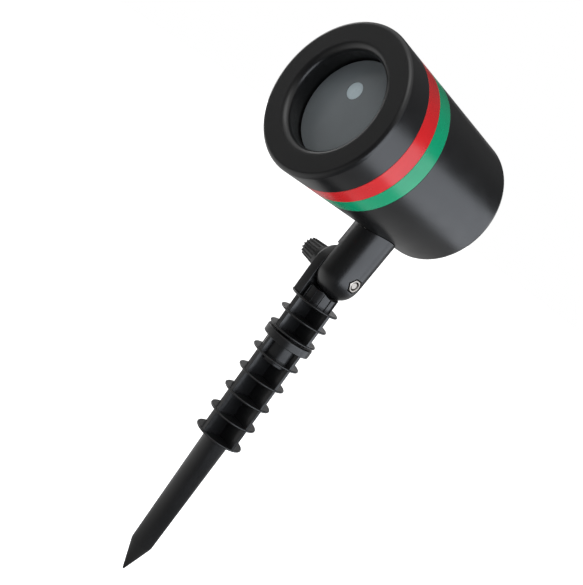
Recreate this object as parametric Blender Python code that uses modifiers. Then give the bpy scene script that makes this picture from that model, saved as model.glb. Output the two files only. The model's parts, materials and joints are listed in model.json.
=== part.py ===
"""Outdoor laser light projector on a finned ground stake.

Metres, +Z up. The origin is on the stake's axis at ground level, the upper face of the top disc.
The light leaves towards -Y. The head tilts about the pivot bolt, which lies along X.
"""

import math

import bmesh
import bpy
from mathutils import Matrix

# Clearances
SEAT_GAP = 0.0003           # between pieces that rest on each other
SEAM_GAP = 0.0002           # along the flush seams of the head's skin
RUN_GAP = 0.0005            # between pieces that turn past each other

# Head, measured along its axis from the rear plane
HEAD_LENGTH = 0.1327
FRONT_RADIUS = 0.0500
REAR_RADIUS = 0.04415
REAR_ROUND = 0.0060
SHELL_WALL = 0.0026
BEZEL_WIDTH = 0.0214
RED_WIDTH = 0.01395
GREEN_WIDTH = 0.0135
BAND_THICKNESS = 0.0020
SLEEVE_WALL = 0.0024
SLEEVE_IN_BEZEL = 0.0090

# Front bezel and window
BEZEL_WALL = 0.0022
BEZEL_FACE = 0.0026
BEZEL_ROUND = 0.0030
FACE_WIDTH = 0.0139
MOUTH_ROUND = 0.0008
THROAT_TAPER = 0.0008
THROAT_WALL = 0.0026
WINDOW_DEPTH = 0.01995
WINDOW_THICKNESS = 0.0028
GASKET_THICKNESS = 0.0012
GASKET_WIDTH = 0.0045
LEDGE_THICKNESS = 0.0050
LEDGE_WIDTH = 0.0075

# Emitter lens, off the head's axis
LENS_X = -0.0109
LENS_Y = 0.0117
LENS_RADIUS = 0.0059
LENS_DOME = 0.0006

# Rear cover and cable gland
COVER_RIM = 0.0008
COVER_THICKNESS = 0.0032
COVER_LEDGE_WIDTH = 0.0080
COVER_LEDGE_THICKNESS = 0.0050
COVER_SEAL = 0.0010
COVER_SCREWS = 4
COUNTERBORE_DEPTH = 0.0015
GLAND_DROP = 0.0150
GLAND_THREAD_RADIUS = 0.0070
GLAND_BORE = 0.0040
GLAND_HEX = 0.0190
GLAND_FLANGE = 0.0030
GLAND_NECK = 0.0070
GLAND_CAP_RADIUS = 0.0095
GLAND_CAP_LENGTH = 0.0120
GLAND_CAP_WALL = 0.0016
GLAND_NUT = 0.0030

# Neck and its place under the head
HEAD_X = 0.0040
AXIS_HEIGHT = 0.0783
NECK_TO_REAR = 0.0309
NECK_RADIUS = 0.0145
NECK_END = 0.0153             # from the pivot to the bottom of the neck's rounded end
NECK_END_SQUARENESS = 2.3     # 2 is a round end, more is fuller
SPIGOT_RADIUS = 0.0060
PAD_RADIUS = 0.0140
PAD_HEIGHT = 0.0056
NECK_SCREW_OFFSET = 0.0098
TILT_SHOWN = math.radians(5.4)

# Pivot: ear, bolt, nut and clamp knob
EAR_OUTSIDE = -0.0115
EAR_THICKNESS = 0.0085
EAR_RADIUS = 0.0140
EAR_ROUND = 0.0025            # rounding of the ear's outer edge
EAR_EDGE = 0.0005
BOLT_RADIUS = 0.0025
NUT_FLATS = 0.0080
NUT_THICKNESS = 0.0040
NUT_EDGE = 0.00025
NUT_POCKET_DEPTH = 0.0039
POCKET_PLAY = 0.0008
BOLT_HEAD = 0.0035
BOLT_SHORT = 0.0006            # from the bolt's end to the nut's outer face
WASHER_RADIUS = 0.0060
WASHER_THICKNESS = 0.0010
KNOB_LENGTH = 0.0194
KNOB_SKIRT = 0.0054
KNOB_SKIRT_RADIUS = 0.0084
KNOB_GRIP_RADIUS = 0.0081
KNOB_END_RADIUS = 0.0068
KNOB_FLUTES = 16
FLUTE_RADIUS = 0.0010
KNOB_SOCKET_DEPTH = 0.0040

# Stake
BOSS_HEIGHT = 0.00835
BOSS_RADIUS = 0.0112
BOSS_RIBS = 12
BOSS_RIB = 0.0007
BOSS_RIB_TURN = math.radians(-6)
DISC_RADIUS = 0.01725
DISC_THICKNESS = 0.0014
RIB_REACH = 0.0164
RIB_THICKNESS = 0.0024
CORE_RADIUS = 0.0015           # stays within the crossed ribs
UPPER_PITCH = 0.0122
UPPER_DISCS = 3
PLUG_RADIUS = 0.0090
PLUG_LENGTH = 0.01875
COLLAR_GAP = 0.00135           # between the upper stake's last disc and the collar
COLLAR_RADIUS = 0.0169
COLLAR_HEIGHT = 0.0057
COLLAR_EDGE = 0.0010
SOCKET_WALL = 0.0028
SOCKET_FLOOR = 0.0024
COLLAR_TO_DISC = 0.01095
LOWER_PITCH = 0.01612
LOWER_DISCS = 5
SPIKE_TOP_RADIUS = 0.0092
SPIKE_LOW_RADIUS = 0.0077
SPIKE_LENGTH = 0.0897
POINT_LENGTH = 0.0219
POINT_RADIUS = 0.0008

# Screws
SCREW_RADIUS = 0.0015
SCREW_HEAD_RADIUS = 0.0027
SCREW_HEAD_HEIGHT = 0.0018
SHORT_SCREW = 0.0060
LONG_SCREW = 0.0120

# Optics and electronics
CHASSIS_THICKNESS = 0.0020
CHASSIS_SCREWS = 3
SHROUD_RADIUS = 0.0085
SHROUD_WALL = 0.0029
GRATING_RADIUS = 0.0063
GRATING_THICKNESS = 0.0008
BEAM_RADIUS = 0.0048
BLOCK_WIDTH = 0.0360
BLOCK_LENGTH = 0.0340
BLOCK_BELOW = 0.0110
BLOCK_ABOVE = 0.0150
BLOCK_FINS = 6
FIN_DEPTH = 0.0060
BLOCK_SCREW_OFFSET = 0.0130
COMBINER_BACK = 0.0125
COMBINER_LENGTH = 0.0110
COMBINER_WIDTH = 0.0132
COMBINER_THICKNESS = 0.0010
GREEN_RADIUS = 0.0060
GREEN_LENGTH = 0.0160
RED_RADIUS = 0.0045
RED_LENGTH = 0.0150
MODULE_TO_COMBINER = 0.0070
BOARD_WIDTH = 0.0480
BOARD_LENGTH = 0.0560
BOARD_THICKNESS = 0.0016
BOARD_X = -0.0080
SPACER_HEIGHT = 0.0060
SPACER_RADIUS = 0.0030
BOARD_SCREW_BACK = 0.0250
CAPACITOR_RADIUS = 0.0040
CAPACITOR_HEIGHT = 0.0090
TERMINAL_SIZE = 0.0080
COIL_RADIUS = 0.0050
COIL_HEIGHT = 0.0050
LEAD_RADIUS = 0.0009

# Fineness of the turned and small pieces
HEAD_SIDES = 40
STAKE_SIDES = 28
SMALL_SIDES = 16
SCREW_SIDES = 8

# Places along the head's axis, worked out from the sizes above
RED_FRONT = HEAD_LENGTH - BEZEL_WIDTH
GREEN_FRONT = RED_FRONT - RED_WIDTH
SHOULDER = GREEN_FRONT - GREEN_WIDTH
SLEEVE_FRONT = RED_FRONT + SLEEVE_IN_BEZEL
WINDOW_FRONT = HEAD_LENGTH - WINDOW_DEPTH
WINDOW_BACK = WINDOW_FRONT - WINDOW_THICKNESS
GASKET_FRONT = WINDOW_BACK - SEAT_GAP
LEDGE_FRONT = GASKET_FRONT - GASKET_THICKNESS - SEAT_GAP
LEDGE_BACK = LEDGE_FRONT - LEDGE_THICKNESS
CHASSIS_FRONT = LEDGE_BACK - SEAT_GAP
CHASSIS_BACK = CHASSIS_FRONT - CHASSIS_THICKNESS
BLOCK_FRONT = CHASSIS_BACK - SEAT_GAP
BLOCK_BACK = BLOCK_FRONT - BLOCK_LENGTH
COMBINER_Z = BLOCK_FRONT - COMBINER_BACK
MOUTH_RADIUS = FRONT_RADIUS - FACE_WIDTH
THROAT_RADIUS = MOUTH_RADIUS - THROAT_TAPER
COVER_HOLE_RADIUS = REAR_RADIUS - REAR_ROUND - COVER_RIM
COVER_RADIUS = COVER_HOLE_RADIUS - SEAT_GAP
COVER_LEDGE_RADIUS = COVER_RADIUS - COVER_LEDGE_WIDTH
COVER_LEDGE_BACK = COVER_THICKNESS + COVER_SEAL + 2 * SEAT_GAP
COVER_LEDGE_FRONT = COVER_LEDGE_BACK + COVER_LEDGE_THICKNESS

# Places about the pivot and along the stake
PIVOT_HEIGHT = BOSS_HEIGHT + RUN_GAP + NECK_END
EAR_INSIDE = EAR_OUTSIDE + EAR_THICKNESS
NECK_FLAT = EAR_INSIDE + SEAT_GAP
NECK_SHOULDER = EAR_RADIUS + RUN_GAP
NECK_SIDE = HEAD_X + NECK_RADIUS
POCKET_FLOOR = NECK_SIDE - NUT_POCKET_DEPTH
NUT_INSIDE = POCKET_FLOOR + SEAT_GAP
NUT_OUTSIDE = NUT_INSIDE + NUT_THICKNESS
WASHER_SEAT = -EAR_OUTSIDE + SEAT_GAP
KNOB_SEAT = WASHER_SEAT + WASHER_THICKNESS + SEAT_GAP
KNOB_END = KNOB_SEAT + KNOB_LENGTH
HOLE_RADIUS = BOLT_RADIUS + SEAT_GAP
SCREW_HOLE = SCREW_RADIUS + SEAT_GAP
UPPER_END = -(UPPER_DISCS - 1) * UPPER_PITCH - DISC_THICKNESS
COLLAR_TOP = UPPER_END - COLLAR_GAP
COLLAR_BOTTOM = COLLAR_TOP - COLLAR_HEIGHT
LOWER_FIRST = COLLAR_BOTTOM - COLLAR_TO_DISC
LOWER_LAST = LOWER_FIRST - (LOWER_DISCS - 1) * LOWER_PITCH
PLUG_END = UPPER_END - PLUG_LENGTH
SOCKET_RADIUS = PLUG_RADIUS + SEAT_GAP
SOCKET_BOTTOM = PLUG_END - SEAT_GAP
SPIKE_START = LOWER_LAST - DISC_THICKNESS / 2
SPIKE_END = SPIKE_START - SPIKE_LENGTH
TIP = SPIKE_END - POINT_LENGTH

# Colour, roughness and metallic value of each finish
FINISHES = {
    "black": ((0.018, 0.018, 0.020), 0.42, 0.0),
    "red": ((0.72, 0.012, 0.016), 0.35, 0.0),
    "green": ((0.0, 0.30, 0.12), 0.35, 0.0),
    "smoke": ((0.085, 0.095, 0.105), 0.25, 0.0),
    "lens": ((0.36, 0.42, 0.45), 0.30, 0.0),
    "rubber": ((0.012, 0.012, 0.012), 0.80, 0.0),
    "steel": ((0.62, 0.61, 0.60), 0.25, 1.0),
    "aluminium": ((0.70, 0.71, 0.72), 0.40, 1.0),
    "brass": ((0.75, 0.53, 0.24), 0.30, 1.0),
    "glass": ((0.60, 0.70, 0.72), 0.10, 0.0),
    "board": ((0.02, 0.18, 0.06), 0.50, 0.0),
}


def clear_scene():
    """Remove what the file opened with."""
    for obj in list(bpy.data.objects):
        bpy.data.objects.remove(obj, do_unlink=True)


def new_collection(name):
    """Return a collection linked to the scene."""
    collection = bpy.data.collections.new(name)
    bpy.context.scene.collection.children.link(collection)
    return collection


clear_scene()
PARTS = new_collection("laser_projector")
CUTTERS = new_collection("cutters")


def finish_material(name, finish):
    """Return a Principled material of one finish, for one piece."""
    colour, roughness, metallic = FINISHES[finish]
    material = bpy.data.materials.new(name + "_" + finish)
    material.use_nodes = True
    shader = material.node_tree.nodes["Principled BSDF"]
    shader.inputs["Base Color"].default_value = (*colour, 1.0)
    shader.inputs["Roughness"].default_value = roughness
    shader.inputs["Metallic"].default_value = metallic
    material.diffuse_color = (*colour, 1.0)
    return material


def add_object(name, mesh, finish=None, parent=None, location=(0, 0, 0), rotation=(0, 0, 0)):
    """Link a mesh as a piece, or as a cutter where no finish is given."""
    obj = bpy.data.objects.new(name, mesh)
    obj.parent = parent
    obj.location = location
    obj.rotation_euler = rotation
    if finish is None:
        CUTTERS.objects.link(obj)
        obj.hide_render = True
        obj.display_type = "WIRE"
    else:
        PARTS.objects.link(obj)
        if not mesh.materials:
            mesh.materials.append(finish_material(name, finish))
    return obj


def add_empty(name, parent, location, rotation=(0, 0, 0)):
    """Add an axis that pieces hang on."""
    empty = bpy.data.objects.new(name, None)
    PARTS.objects.link(empty)
    empty.parent = parent
    empty.location = location
    empty.rotation_euler = rotation
    return empty


def round_off(mesh, angle=35):
    """Shade a mesh smooth, with edges above the angle kept sharp."""
    mesh.shade_smooth()
    mesh.set_sharp_from_angle(angle=math.radians(angle))


def arc(centre_r, centre_z, radius, start, end, steps):
    """Points of a profile's fillet, angles in degrees from +r towards +z."""
    points = []
    for i in range(steps + 1):
        angle = math.radians(start + (end - start) * i / steps)
        points.append((centre_r + radius * math.cos(angle), centre_z + radius * math.sin(angle)))
    return points


def turned(name, profile, finish=None, sides=HEAD_SIDES, ring=False, **place):
    """Turn a profile of (radius, z) points about local Z; a ring's profile is closed."""
    mesh = bpy.data.meshes.new(name)
    edges = [(i, i + 1) for i in range(len(profile) - 1)]
    if ring:
        edges.append((len(profile) - 1, 0))
    mesh.from_pydata([(r, 0.0, z) for r, z in profile], edges, [])
    obj = add_object(name, mesh, finish, **place)
    screw = obj.modifiers.new("turn", "SCREW")
    screw.steps = sides
    screw.render_steps = sides
    screw.use_merge_vertices = True
    screw.merge_threshold = 0.00001
    screw.use_smooth_shade = True
    return obj


def solid(name, build, finish=None, **place):
    """Make a piece from a function that fills a bmesh."""
    mesh = bpy.data.meshes.new(name)
    bm = bmesh.new()
    build(bm)
    bm.to_mesh(mesh)
    bm.free()
    return add_object(name, mesh, finish, **place)


def box(bm, low, high, turn=None):
    """Add a box between two corners, turned about its own centre."""
    size = [h - l for l, h in zip(low, high)]
    centre = [(l + h) / 2 for l, h in zip(low, high)]
    matrix = Matrix.Translation(centre) @ (turn or Matrix()) @ Matrix.Diagonal((*size, 1.0))
    bmesh.ops.create_cube(bm, size=1.0, matrix=matrix)


def rod(bm, radius, low, high, sides=SMALL_SIDES, centre=(0, 0), axis="Z", end_radius=None):
    """Add a cylinder or cone along an axis from low to high; centre gives its other two places."""
    turn = {
        "X": Matrix.Rotation(math.pi / 2, 4, "Y"),
        "Y": Matrix.Rotation(-math.pi / 2, 4, "X"),
        "Z": Matrix(),
    }
    middle = (low + high) / 2
    place = {
        "Z": (centre[0], centre[1], middle),
        "X": (middle, centre[0], centre[1]),
        "Y": (centre[0], middle, centre[1]),
    }
    bmesh.ops.create_cone(
        bm,
        cap_ends=True,
        segments=sides,
        radius1=radius,
        radius2=radius if end_radius is None else end_radius,
        depth=high - low,
        matrix=Matrix.Translation(place[axis]) @ turn[axis],
    )


def hexagon(bm, flats, low, high, centre=(0, 0)):
    """Add a hexagonal prism along Z, given by its width across flats."""
    rod(bm, flats / math.sqrt(3), low, high, sides=6, centre=centre)


def mesh_of_curve(curve, matrix=Matrix()):
    """Return a curve's surface as one closed mesh, and remove the curve."""
    guide = bpy.data.objects.new(curve.name, curve)
    CUTTERS.objects.link(guide)
    bpy.context.view_layer.update()
    graph = bpy.context.evaluated_depsgraph_get()
    mesh = bpy.data.meshes.new_from_object(guide.evaluated_get(graph))
    mesh.transform(matrix)
    bm = bmesh.new()
    bm.from_mesh(mesh)
    bmesh.ops.remove_doubles(bm, verts=bm.verts, dist=0.00001)
    bmesh.ops.recalc_face_normals(bm, faces=bm.faces)
    bm.to_mesh(mesh)
    bm.free()
    bpy.data.objects.remove(guide)
    return mesh


def combine(obj, other, operation):
    """Cut the other object from obj, or join it on."""
    modifier = obj.modifiers.new(other.name, "BOOLEAN")
    modifier.operation = operation
    modifier.object = other
    return obj


def cut(obj, other):
    return combine(obj, other, "DIFFERENCE")


def join(obj, other):
    return combine(obj, other, "UNION")


def bevel(obj, width, segments=2, angle=50):
    """Round the edges of a piece that are sharper than the angle."""
    modifier = obj.modifiers.new("rounded edges", "BEVEL")
    modifier.width = width
    modifier.segments = segments
    modifier.limit_method = "ANGLE"
    modifier.angle_limit = math.radians(angle)
    return obj


def screw(name, seat, parent, rotation=(0, 0, 0), length=SHORT_SCREW, finish="steel"):
    """A pan head screw: its head rests on the seat, and its shank runs down local Z."""
    half = SCREW_HEAD_HEIGHT / 2
    head = arc(SCREW_HEAD_RADIUS - half, half, half, 90, 0, 2)
    profile = [(0, SCREW_HEAD_HEIGHT), *head, (SCREW_HEAD_RADIUS, 0), (SCREW_RADIUS, 0)]
    profile += [(SCREW_RADIUS, -length + SCREW_RADIUS / 2), (SCREW_RADIUS / 2, -length), (0, -length)]
    return turned(name, profile, finish, sides=SCREW_SIDES, parent=parent, location=seat, rotation=rotation)


def skin(z):
    """Radius of the head's tapered outside at z."""
    return REAR_RADIUS + (FRONT_RADIUS - REAR_RADIUS) * z / HEAD_LENGTH


def sleeve(z):
    """Outside radius of the shell's sleeve, which the coloured bands slide onto."""
    return skin(z) - BAND_THICKNESS - SEAT_GAP


def bore(z):
    """Inside radius of the shell's sleeve."""
    return sleeve(z) - SLEEVE_WALL


def around(count, radius, start=0.0):
    """Places of a bolt circle."""
    places = []
    for i in range(count):
        angle = start + 2 * math.pi * i / count
        places.append((radius * math.cos(angle), radius * math.sin(angle)))
    return places


# The axes that the pieces hang on
TILT_AXIS = add_empty("tilt_axis", None, (0, 0, PIVOT_HEIGHT), (-TILT_SHOWN, 0, 0))
# On this axis Z points forwards, X to the right seen from behind the light, and Y up
HEAD_AXIS = add_empty("head_axis", TILT_AXIS, (HEAD_X, NECK_TO_REAR, AXIS_HEIGHT), (math.pi / 2, 0, 0))
# On this axis Z points from the nut towards the knob
CLAMP_AXIS = add_empty("clamp_axis", TILT_AXIS, (0, 0, 0), (0, -math.pi / 2, 0))

# Radii that follow the head's taper
WINDOW_RADIUS = bore(WINDOW_BACK) - SEAT_GAP
LEDGE_RADIUS = bore(LEDGE_BACK) - LEDGE_WIDTH
CHASSIS_RADIUS = bore(CHASSIS_BACK) - RUN_GAP

COVER_SCREW_PLACES = around(COVER_SCREWS, (COVER_LEDGE_RADIUS + COVER_RADIUS) / 2, math.pi / 4)
CHASSIS_SCREW_PLACES = around(CHASSIS_SCREWS, (LEDGE_RADIUS + bore(LEDGE_BACK)) / 2, math.pi / 2)
NECK_SCREW_PLACES = [NECK_TO_REAR - NECK_SCREW_OFFSET, NECK_TO_REAR + NECK_SCREW_OFFSET]
PAD_TOP = -skin(NECK_TO_REAR) + PAD_HEIGHT


def build_shell():
    """The tapered shell: a rounded rear end, a ledge for each cover, and a sleeve for the bands."""
    step = SHELL_WALL
    profile = [
        (sleeve(SLEEVE_FRONT), SLEEVE_FRONT),
        (sleeve(SHOULDER), SHOULDER),
        (skin(SHOULDER), SHOULDER),
        *arc(REAR_RADIUS - REAR_ROUND, REAR_ROUND, REAR_ROUND, 0, -90, 5),
        (COVER_HOLE_RADIUS, 0),
        (COVER_HOLE_RADIUS, COVER_LEDGE_BACK),
        (COVER_LEDGE_RADIUS, COVER_LEDGE_BACK),
        (COVER_LEDGE_RADIUS, COVER_LEDGE_FRONT),
        (skin(COVER_LEDGE_FRONT) - SHELL_WALL, COVER_LEDGE_FRONT),
        (skin(SHOULDER) - SHELL_WALL, SHOULDER - 2 * step),
        (bore(SHOULDER), SHOULDER - step),
        (bore(LEDGE_BACK), LEDGE_BACK),
        (LEDGE_RADIUS, LEDGE_BACK),
        (LEDGE_RADIUS, LEDGE_FRONT),
        (bore(LEDGE_FRONT), LEDGE_FRONT),
        (bore(SLEEVE_FRONT), SLEEVE_FRONT),
    ]
    shell = turned("body_shell", profile, "black", ring=True, parent=HEAD_AXIS)

    def pad(bm):
        rod(bm, PAD_RADIUS, -skin(NECK_TO_REAR) - PAD_HEIGHT, PAD_TOP, centre=(0, NECK_TO_REAR), axis="Y")

    def neck_holes(bm):
        low = -skin(NECK_TO_REAR) - PAD_HEIGHT
        high = PAD_TOP + PAD_HEIGHT
        rod(bm, SPIGOT_RADIUS + SEAT_GAP, low, high, centre=(0, NECK_TO_REAR), axis="Y")
        for z in NECK_SCREW_PLACES:
            rod(bm, SCREW_HOLE, low, high, sides=SCREW_SIDES, centre=(0, z), axis="Y")

    def screw_holes(bm):
        for x, y in COVER_SCREW_PLACES:
            low = COVER_LEDGE_BACK - SCREW_RADIUS
            rod(bm, SCREW_HOLE, low, COVER_LEDGE_FRONT + SCREW_RADIUS, sides=SCREW_SIDES, centre=(x, y))
        for x, y in CHASSIS_SCREW_PLACES:
            low = LEDGE_BACK - SCREW_RADIUS
            rod(bm, SCREW_HOLE, low, LEDGE_BACK + LEDGE_THICKNESS * 0.9, sides=SCREW_SIDES, centre=(x, y))

    # The pad's underside follows the middle of the wall
    middle = SHELL_WALL / 2
    inner = [(0, SHOULDER), (skin(SHOULDER) - middle, SHOULDER), (skin(0) - middle, 0), (0, 0)]
    neck_pad = solid("shell_pad", pad, parent=HEAD_AXIS)
    combine(neck_pad, turned("pad_underside", inner, parent=HEAD_AXIS), "INTERSECT")
    join(shell, neck_pad)
    cut(shell, solid("shell_neck_holes", neck_holes, parent=HEAD_AXIS))
    cut(shell, solid("shell_screw_holes", screw_holes, parent=HEAD_AXIS))


def build_bands():
    """The green and red rings between the shell's shoulder and the bezel."""
    for name, finish, back, front in (
        ("green_band", "green", SHOULDER, GREEN_FRONT),
        ("red_band", "red", GREEN_FRONT, RED_FRONT),
    ):
        low = back + SEAM_GAP / 2
        high = front - SEAM_GAP / 2
        profile = [
            (skin(high), high),
            (skin(low), low),
            (skin(low) - BAND_THICKNESS, low),
            (skin(high) - BAND_THICKNESS, high),
        ]
        turned(name, profile, finish, ring=True, parent=HEAD_AXIS)


def build_bezel():
    """The front ring: an outer skin over the sleeve, a flat face, and a throat that holds the window."""
    back = RED_FRONT + SEAM_GAP / 2
    throat_back = WINDOW_FRONT + SEAT_GAP
    face_back = HEAD_LENGTH - BEZEL_FACE
    profile = [
        *arc(FRONT_RADIUS - BEZEL_ROUND, HEAD_LENGTH - BEZEL_ROUND, BEZEL_ROUND, 90, 0, 4),
        (skin(back), back),
        (skin(back) - BEZEL_WALL, back),
        (skin(face_back) - BEZEL_WALL, face_back),
        (THROAT_RADIUS + THROAT_WALL, face_back),
        (THROAT_RADIUS + THROAT_WALL, throat_back),
        (THROAT_RADIUS, throat_back),
        *arc(MOUTH_RADIUS + MOUTH_ROUND, HEAD_LENGTH - MOUTH_ROUND, MOUTH_ROUND, 180, 90, 2),
    ]
    turned("front_bezel", profile, "black", ring=True, parent=HEAD_AXIS)


def build_window():
    """The smoked window with the emitter lens set in it, and the gasket behind."""
    profile = [
        (0, WINDOW_FRONT),
        (WINDOW_RADIUS, WINDOW_FRONT),
        (WINDOW_RADIUS, WINDOW_BACK),
        (0, WINDOW_BACK),
    ]
    window = turned("window", profile, "smoke", parent=HEAD_AXIS)

    def lens_hole(bm):
        low = WINDOW_BACK - WINDOW_THICKNESS
        high = WINDOW_FRONT + WINDOW_THICKNESS
        rod(bm, LENS_RADIUS + SEAT_GAP, low, high, sides=HEAD_SIDES // 2, centre=(LENS_X, LENS_Y))

    cut(window, solid("window_lens_hole", lens_hole, parent=HEAD_AXIS))

    sphere = (LENS_RADIUS ** 2 + LENS_DOME ** 2) / (2 * LENS_DOME)
    half_angle = math.degrees(math.asin(LENS_RADIUS / sphere))
    dome = arc(0, WINDOW_FRONT + LENS_DOME - sphere, sphere, 90, 90 - half_angle, 4)
    profile = [*dome, (LENS_RADIUS, WINDOW_BACK), (0, WINDOW_BACK)]
    place = {"parent": HEAD_AXIS, "location": (LENS_X, LENS_Y, 0)}
    turned("emitter_lens", profile, "lens", sides=HEAD_SIDES // 2, **place)

    profile = [
        (LEDGE_RADIUS + SEAT_GAP + GASKET_WIDTH, GASKET_FRONT),
        (LEDGE_RADIUS + SEAT_GAP + GASKET_WIDTH, GASKET_FRONT - GASKET_THICKNESS),
        (LEDGE_RADIUS + SEAT_GAP, GASKET_FRONT - GASKET_THICKNESS),
        (LEDGE_RADIUS + SEAT_GAP, GASKET_FRONT),
    ]
    turned("window_gasket", profile, "rubber", ring=True, parent=HEAD_AXIS)


def build_rear():
    """The rear cover on its seal, with four countersunk places for its screws."""
    edge = SCREW_RADIUS / 3
    profile = [
        (0, COVER_THICKNESS),
        (COVER_RADIUS, COVER_THICKNESS),
        (COVER_RADIUS, edge),
        (COVER_RADIUS - edge, 0),
        (0, 0),
    ]
    cover = turned("rear_cover", profile, "black", parent=HEAD_AXIS)

    def holes(bm):
        for x, y in COVER_SCREW_PLACES:
            rod(bm, SCREW_HOLE, -COVER_THICKNESS, 2 * COVER_THICKNESS, sides=SCREW_SIDES, centre=(x, y))
        radius = GLAND_THREAD_RADIUS + SEAT_GAP
        rod(bm, radius, -COVER_THICKNESS, 2 * COVER_THICKNESS, centre=(0, -GLAND_DROP))

    def counterbores(bm):
        for x, y in COVER_SCREW_PLACES:
            rod(bm, SCREW_HEAD_RADIUS + 2 * SEAT_GAP, -COVER_THICKNESS, COUNTERBORE_DEPTH, centre=(x, y))

    cut(cover, solid("cover_holes", holes, parent=HEAD_AXIS))
    cut(cover, solid("cover_counterbores", counterbores, parent=HEAD_AXIS))

    back = COVER_THICKNESS + SEAT_GAP
    inside = COVER_LEDGE_RADIUS + SEAT_GAP
    profile = [
        (COVER_RADIUS, back + COVER_SEAL),
        (COVER_RADIUS, back),
        (inside, back),
        (inside, back + COVER_SEAL),
    ]
    seal = turned("rear_gasket", profile, "rubber", ring=True, parent=HEAD_AXIS)

    def seal_holes(bm):
        for x, y in COVER_SCREW_PLACES:
            rod(bm, SCREW_HOLE, 0, COVER_LEDGE_FRONT, sides=SCREW_SIDES, centre=(x, y))

    cut(seal, solid("seal_holes", seal_holes, parent=HEAD_AXIS))
    for i, (x, y) in enumerate(COVER_SCREW_PLACES):
        seat = (x, y, COUNTERBORE_DEPTH - SEAT_GAP)
        screw(f"cover_screw_{i + 1}", seat, HEAD_AXIS, (math.pi, 0, 0))


def build_gland():
    """The cable gland in the rear cover: body, lock nut, rubber seal and domed cap."""
    axis = add_empty("gland_axis", HEAD_AXIS, (0, -GLAND_DROP, 0), (math.pi, 0, 0))
    nut_seat = -COVER_THICKNESS - SEAT_GAP
    flange_seat = SEAT_GAP
    flange_top = flange_seat + GLAND_FLANGE
    thread_end = nut_seat - GLAND_NUT - SCREW_RADIUS
    neck_top = flange_top + GLAND_NECK

    def body(bm):
        rod(bm, GLAND_THREAD_RADIUS, thread_end, neck_top)

    def flange(bm):
        hexagon(bm, GLAND_HEX, flange_seat, flange_top)

    def body_bore(bm):
        rod(bm, GLAND_BORE, thread_end - GLAND_NUT, neck_top + GLAND_NUT, sides=2 * SMALL_SIDES)

    gland = solid("gland_body", body, "black", parent=axis)
    join(gland, solid("gland_flange", flange, parent=axis))
    cut(gland, solid("gland_body_bore", body_bore, parent=axis))

    def nut(bm):
        hexagon(bm, GLAND_HEX, nut_seat - GLAND_NUT, nut_seat)

    def nut_bore(bm):
        rod(bm, GLAND_THREAD_RADIUS + SEAT_GAP, nut_seat - 2 * GLAND_NUT, nut_seat + GLAND_NUT)

    locknut = solid("gland_locknut", nut, "black", parent=axis)
    cut(locknut, solid("gland_nut_bore", nut_bore, parent=axis))

    low = flange_top + SEAT_GAP
    top = low + GLAND_CAP_LENGTH
    inside = GLAND_THREAD_RADIUS + SEAT_GAP
    dome = GLAND_CAP_RADIUS - GLAND_BORE - GLAND_CAP_WALL
    profile = [
        *arc(GLAND_CAP_RADIUS - dome, top - dome, dome, 90, 0, 5),
        (GLAND_CAP_RADIUS, low),
        (inside, low),
        (inside, top - GLAND_CAP_WALL),
        (GLAND_BORE, top - GLAND_CAP_WALL),
        (GLAND_BORE, top),
    ]
    turned("gland_cap", profile, "black", sides=2 * SMALL_SIDES, ring=True, parent=axis)

    seal_low = neck_top + SEAT_GAP
    seal_top = top - GLAND_CAP_WALL - SEAT_GAP
    seal_out = inside - SEAT_GAP
    profile = [(seal_out, seal_top), (seal_out, seal_low), (GLAND_BORE, seal_low), (GLAND_BORE, seal_top)]
    turned("gland_seal", profile, "rubber", sides=2 * SMALL_SIDES, ring=True, parent=axis)


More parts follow.
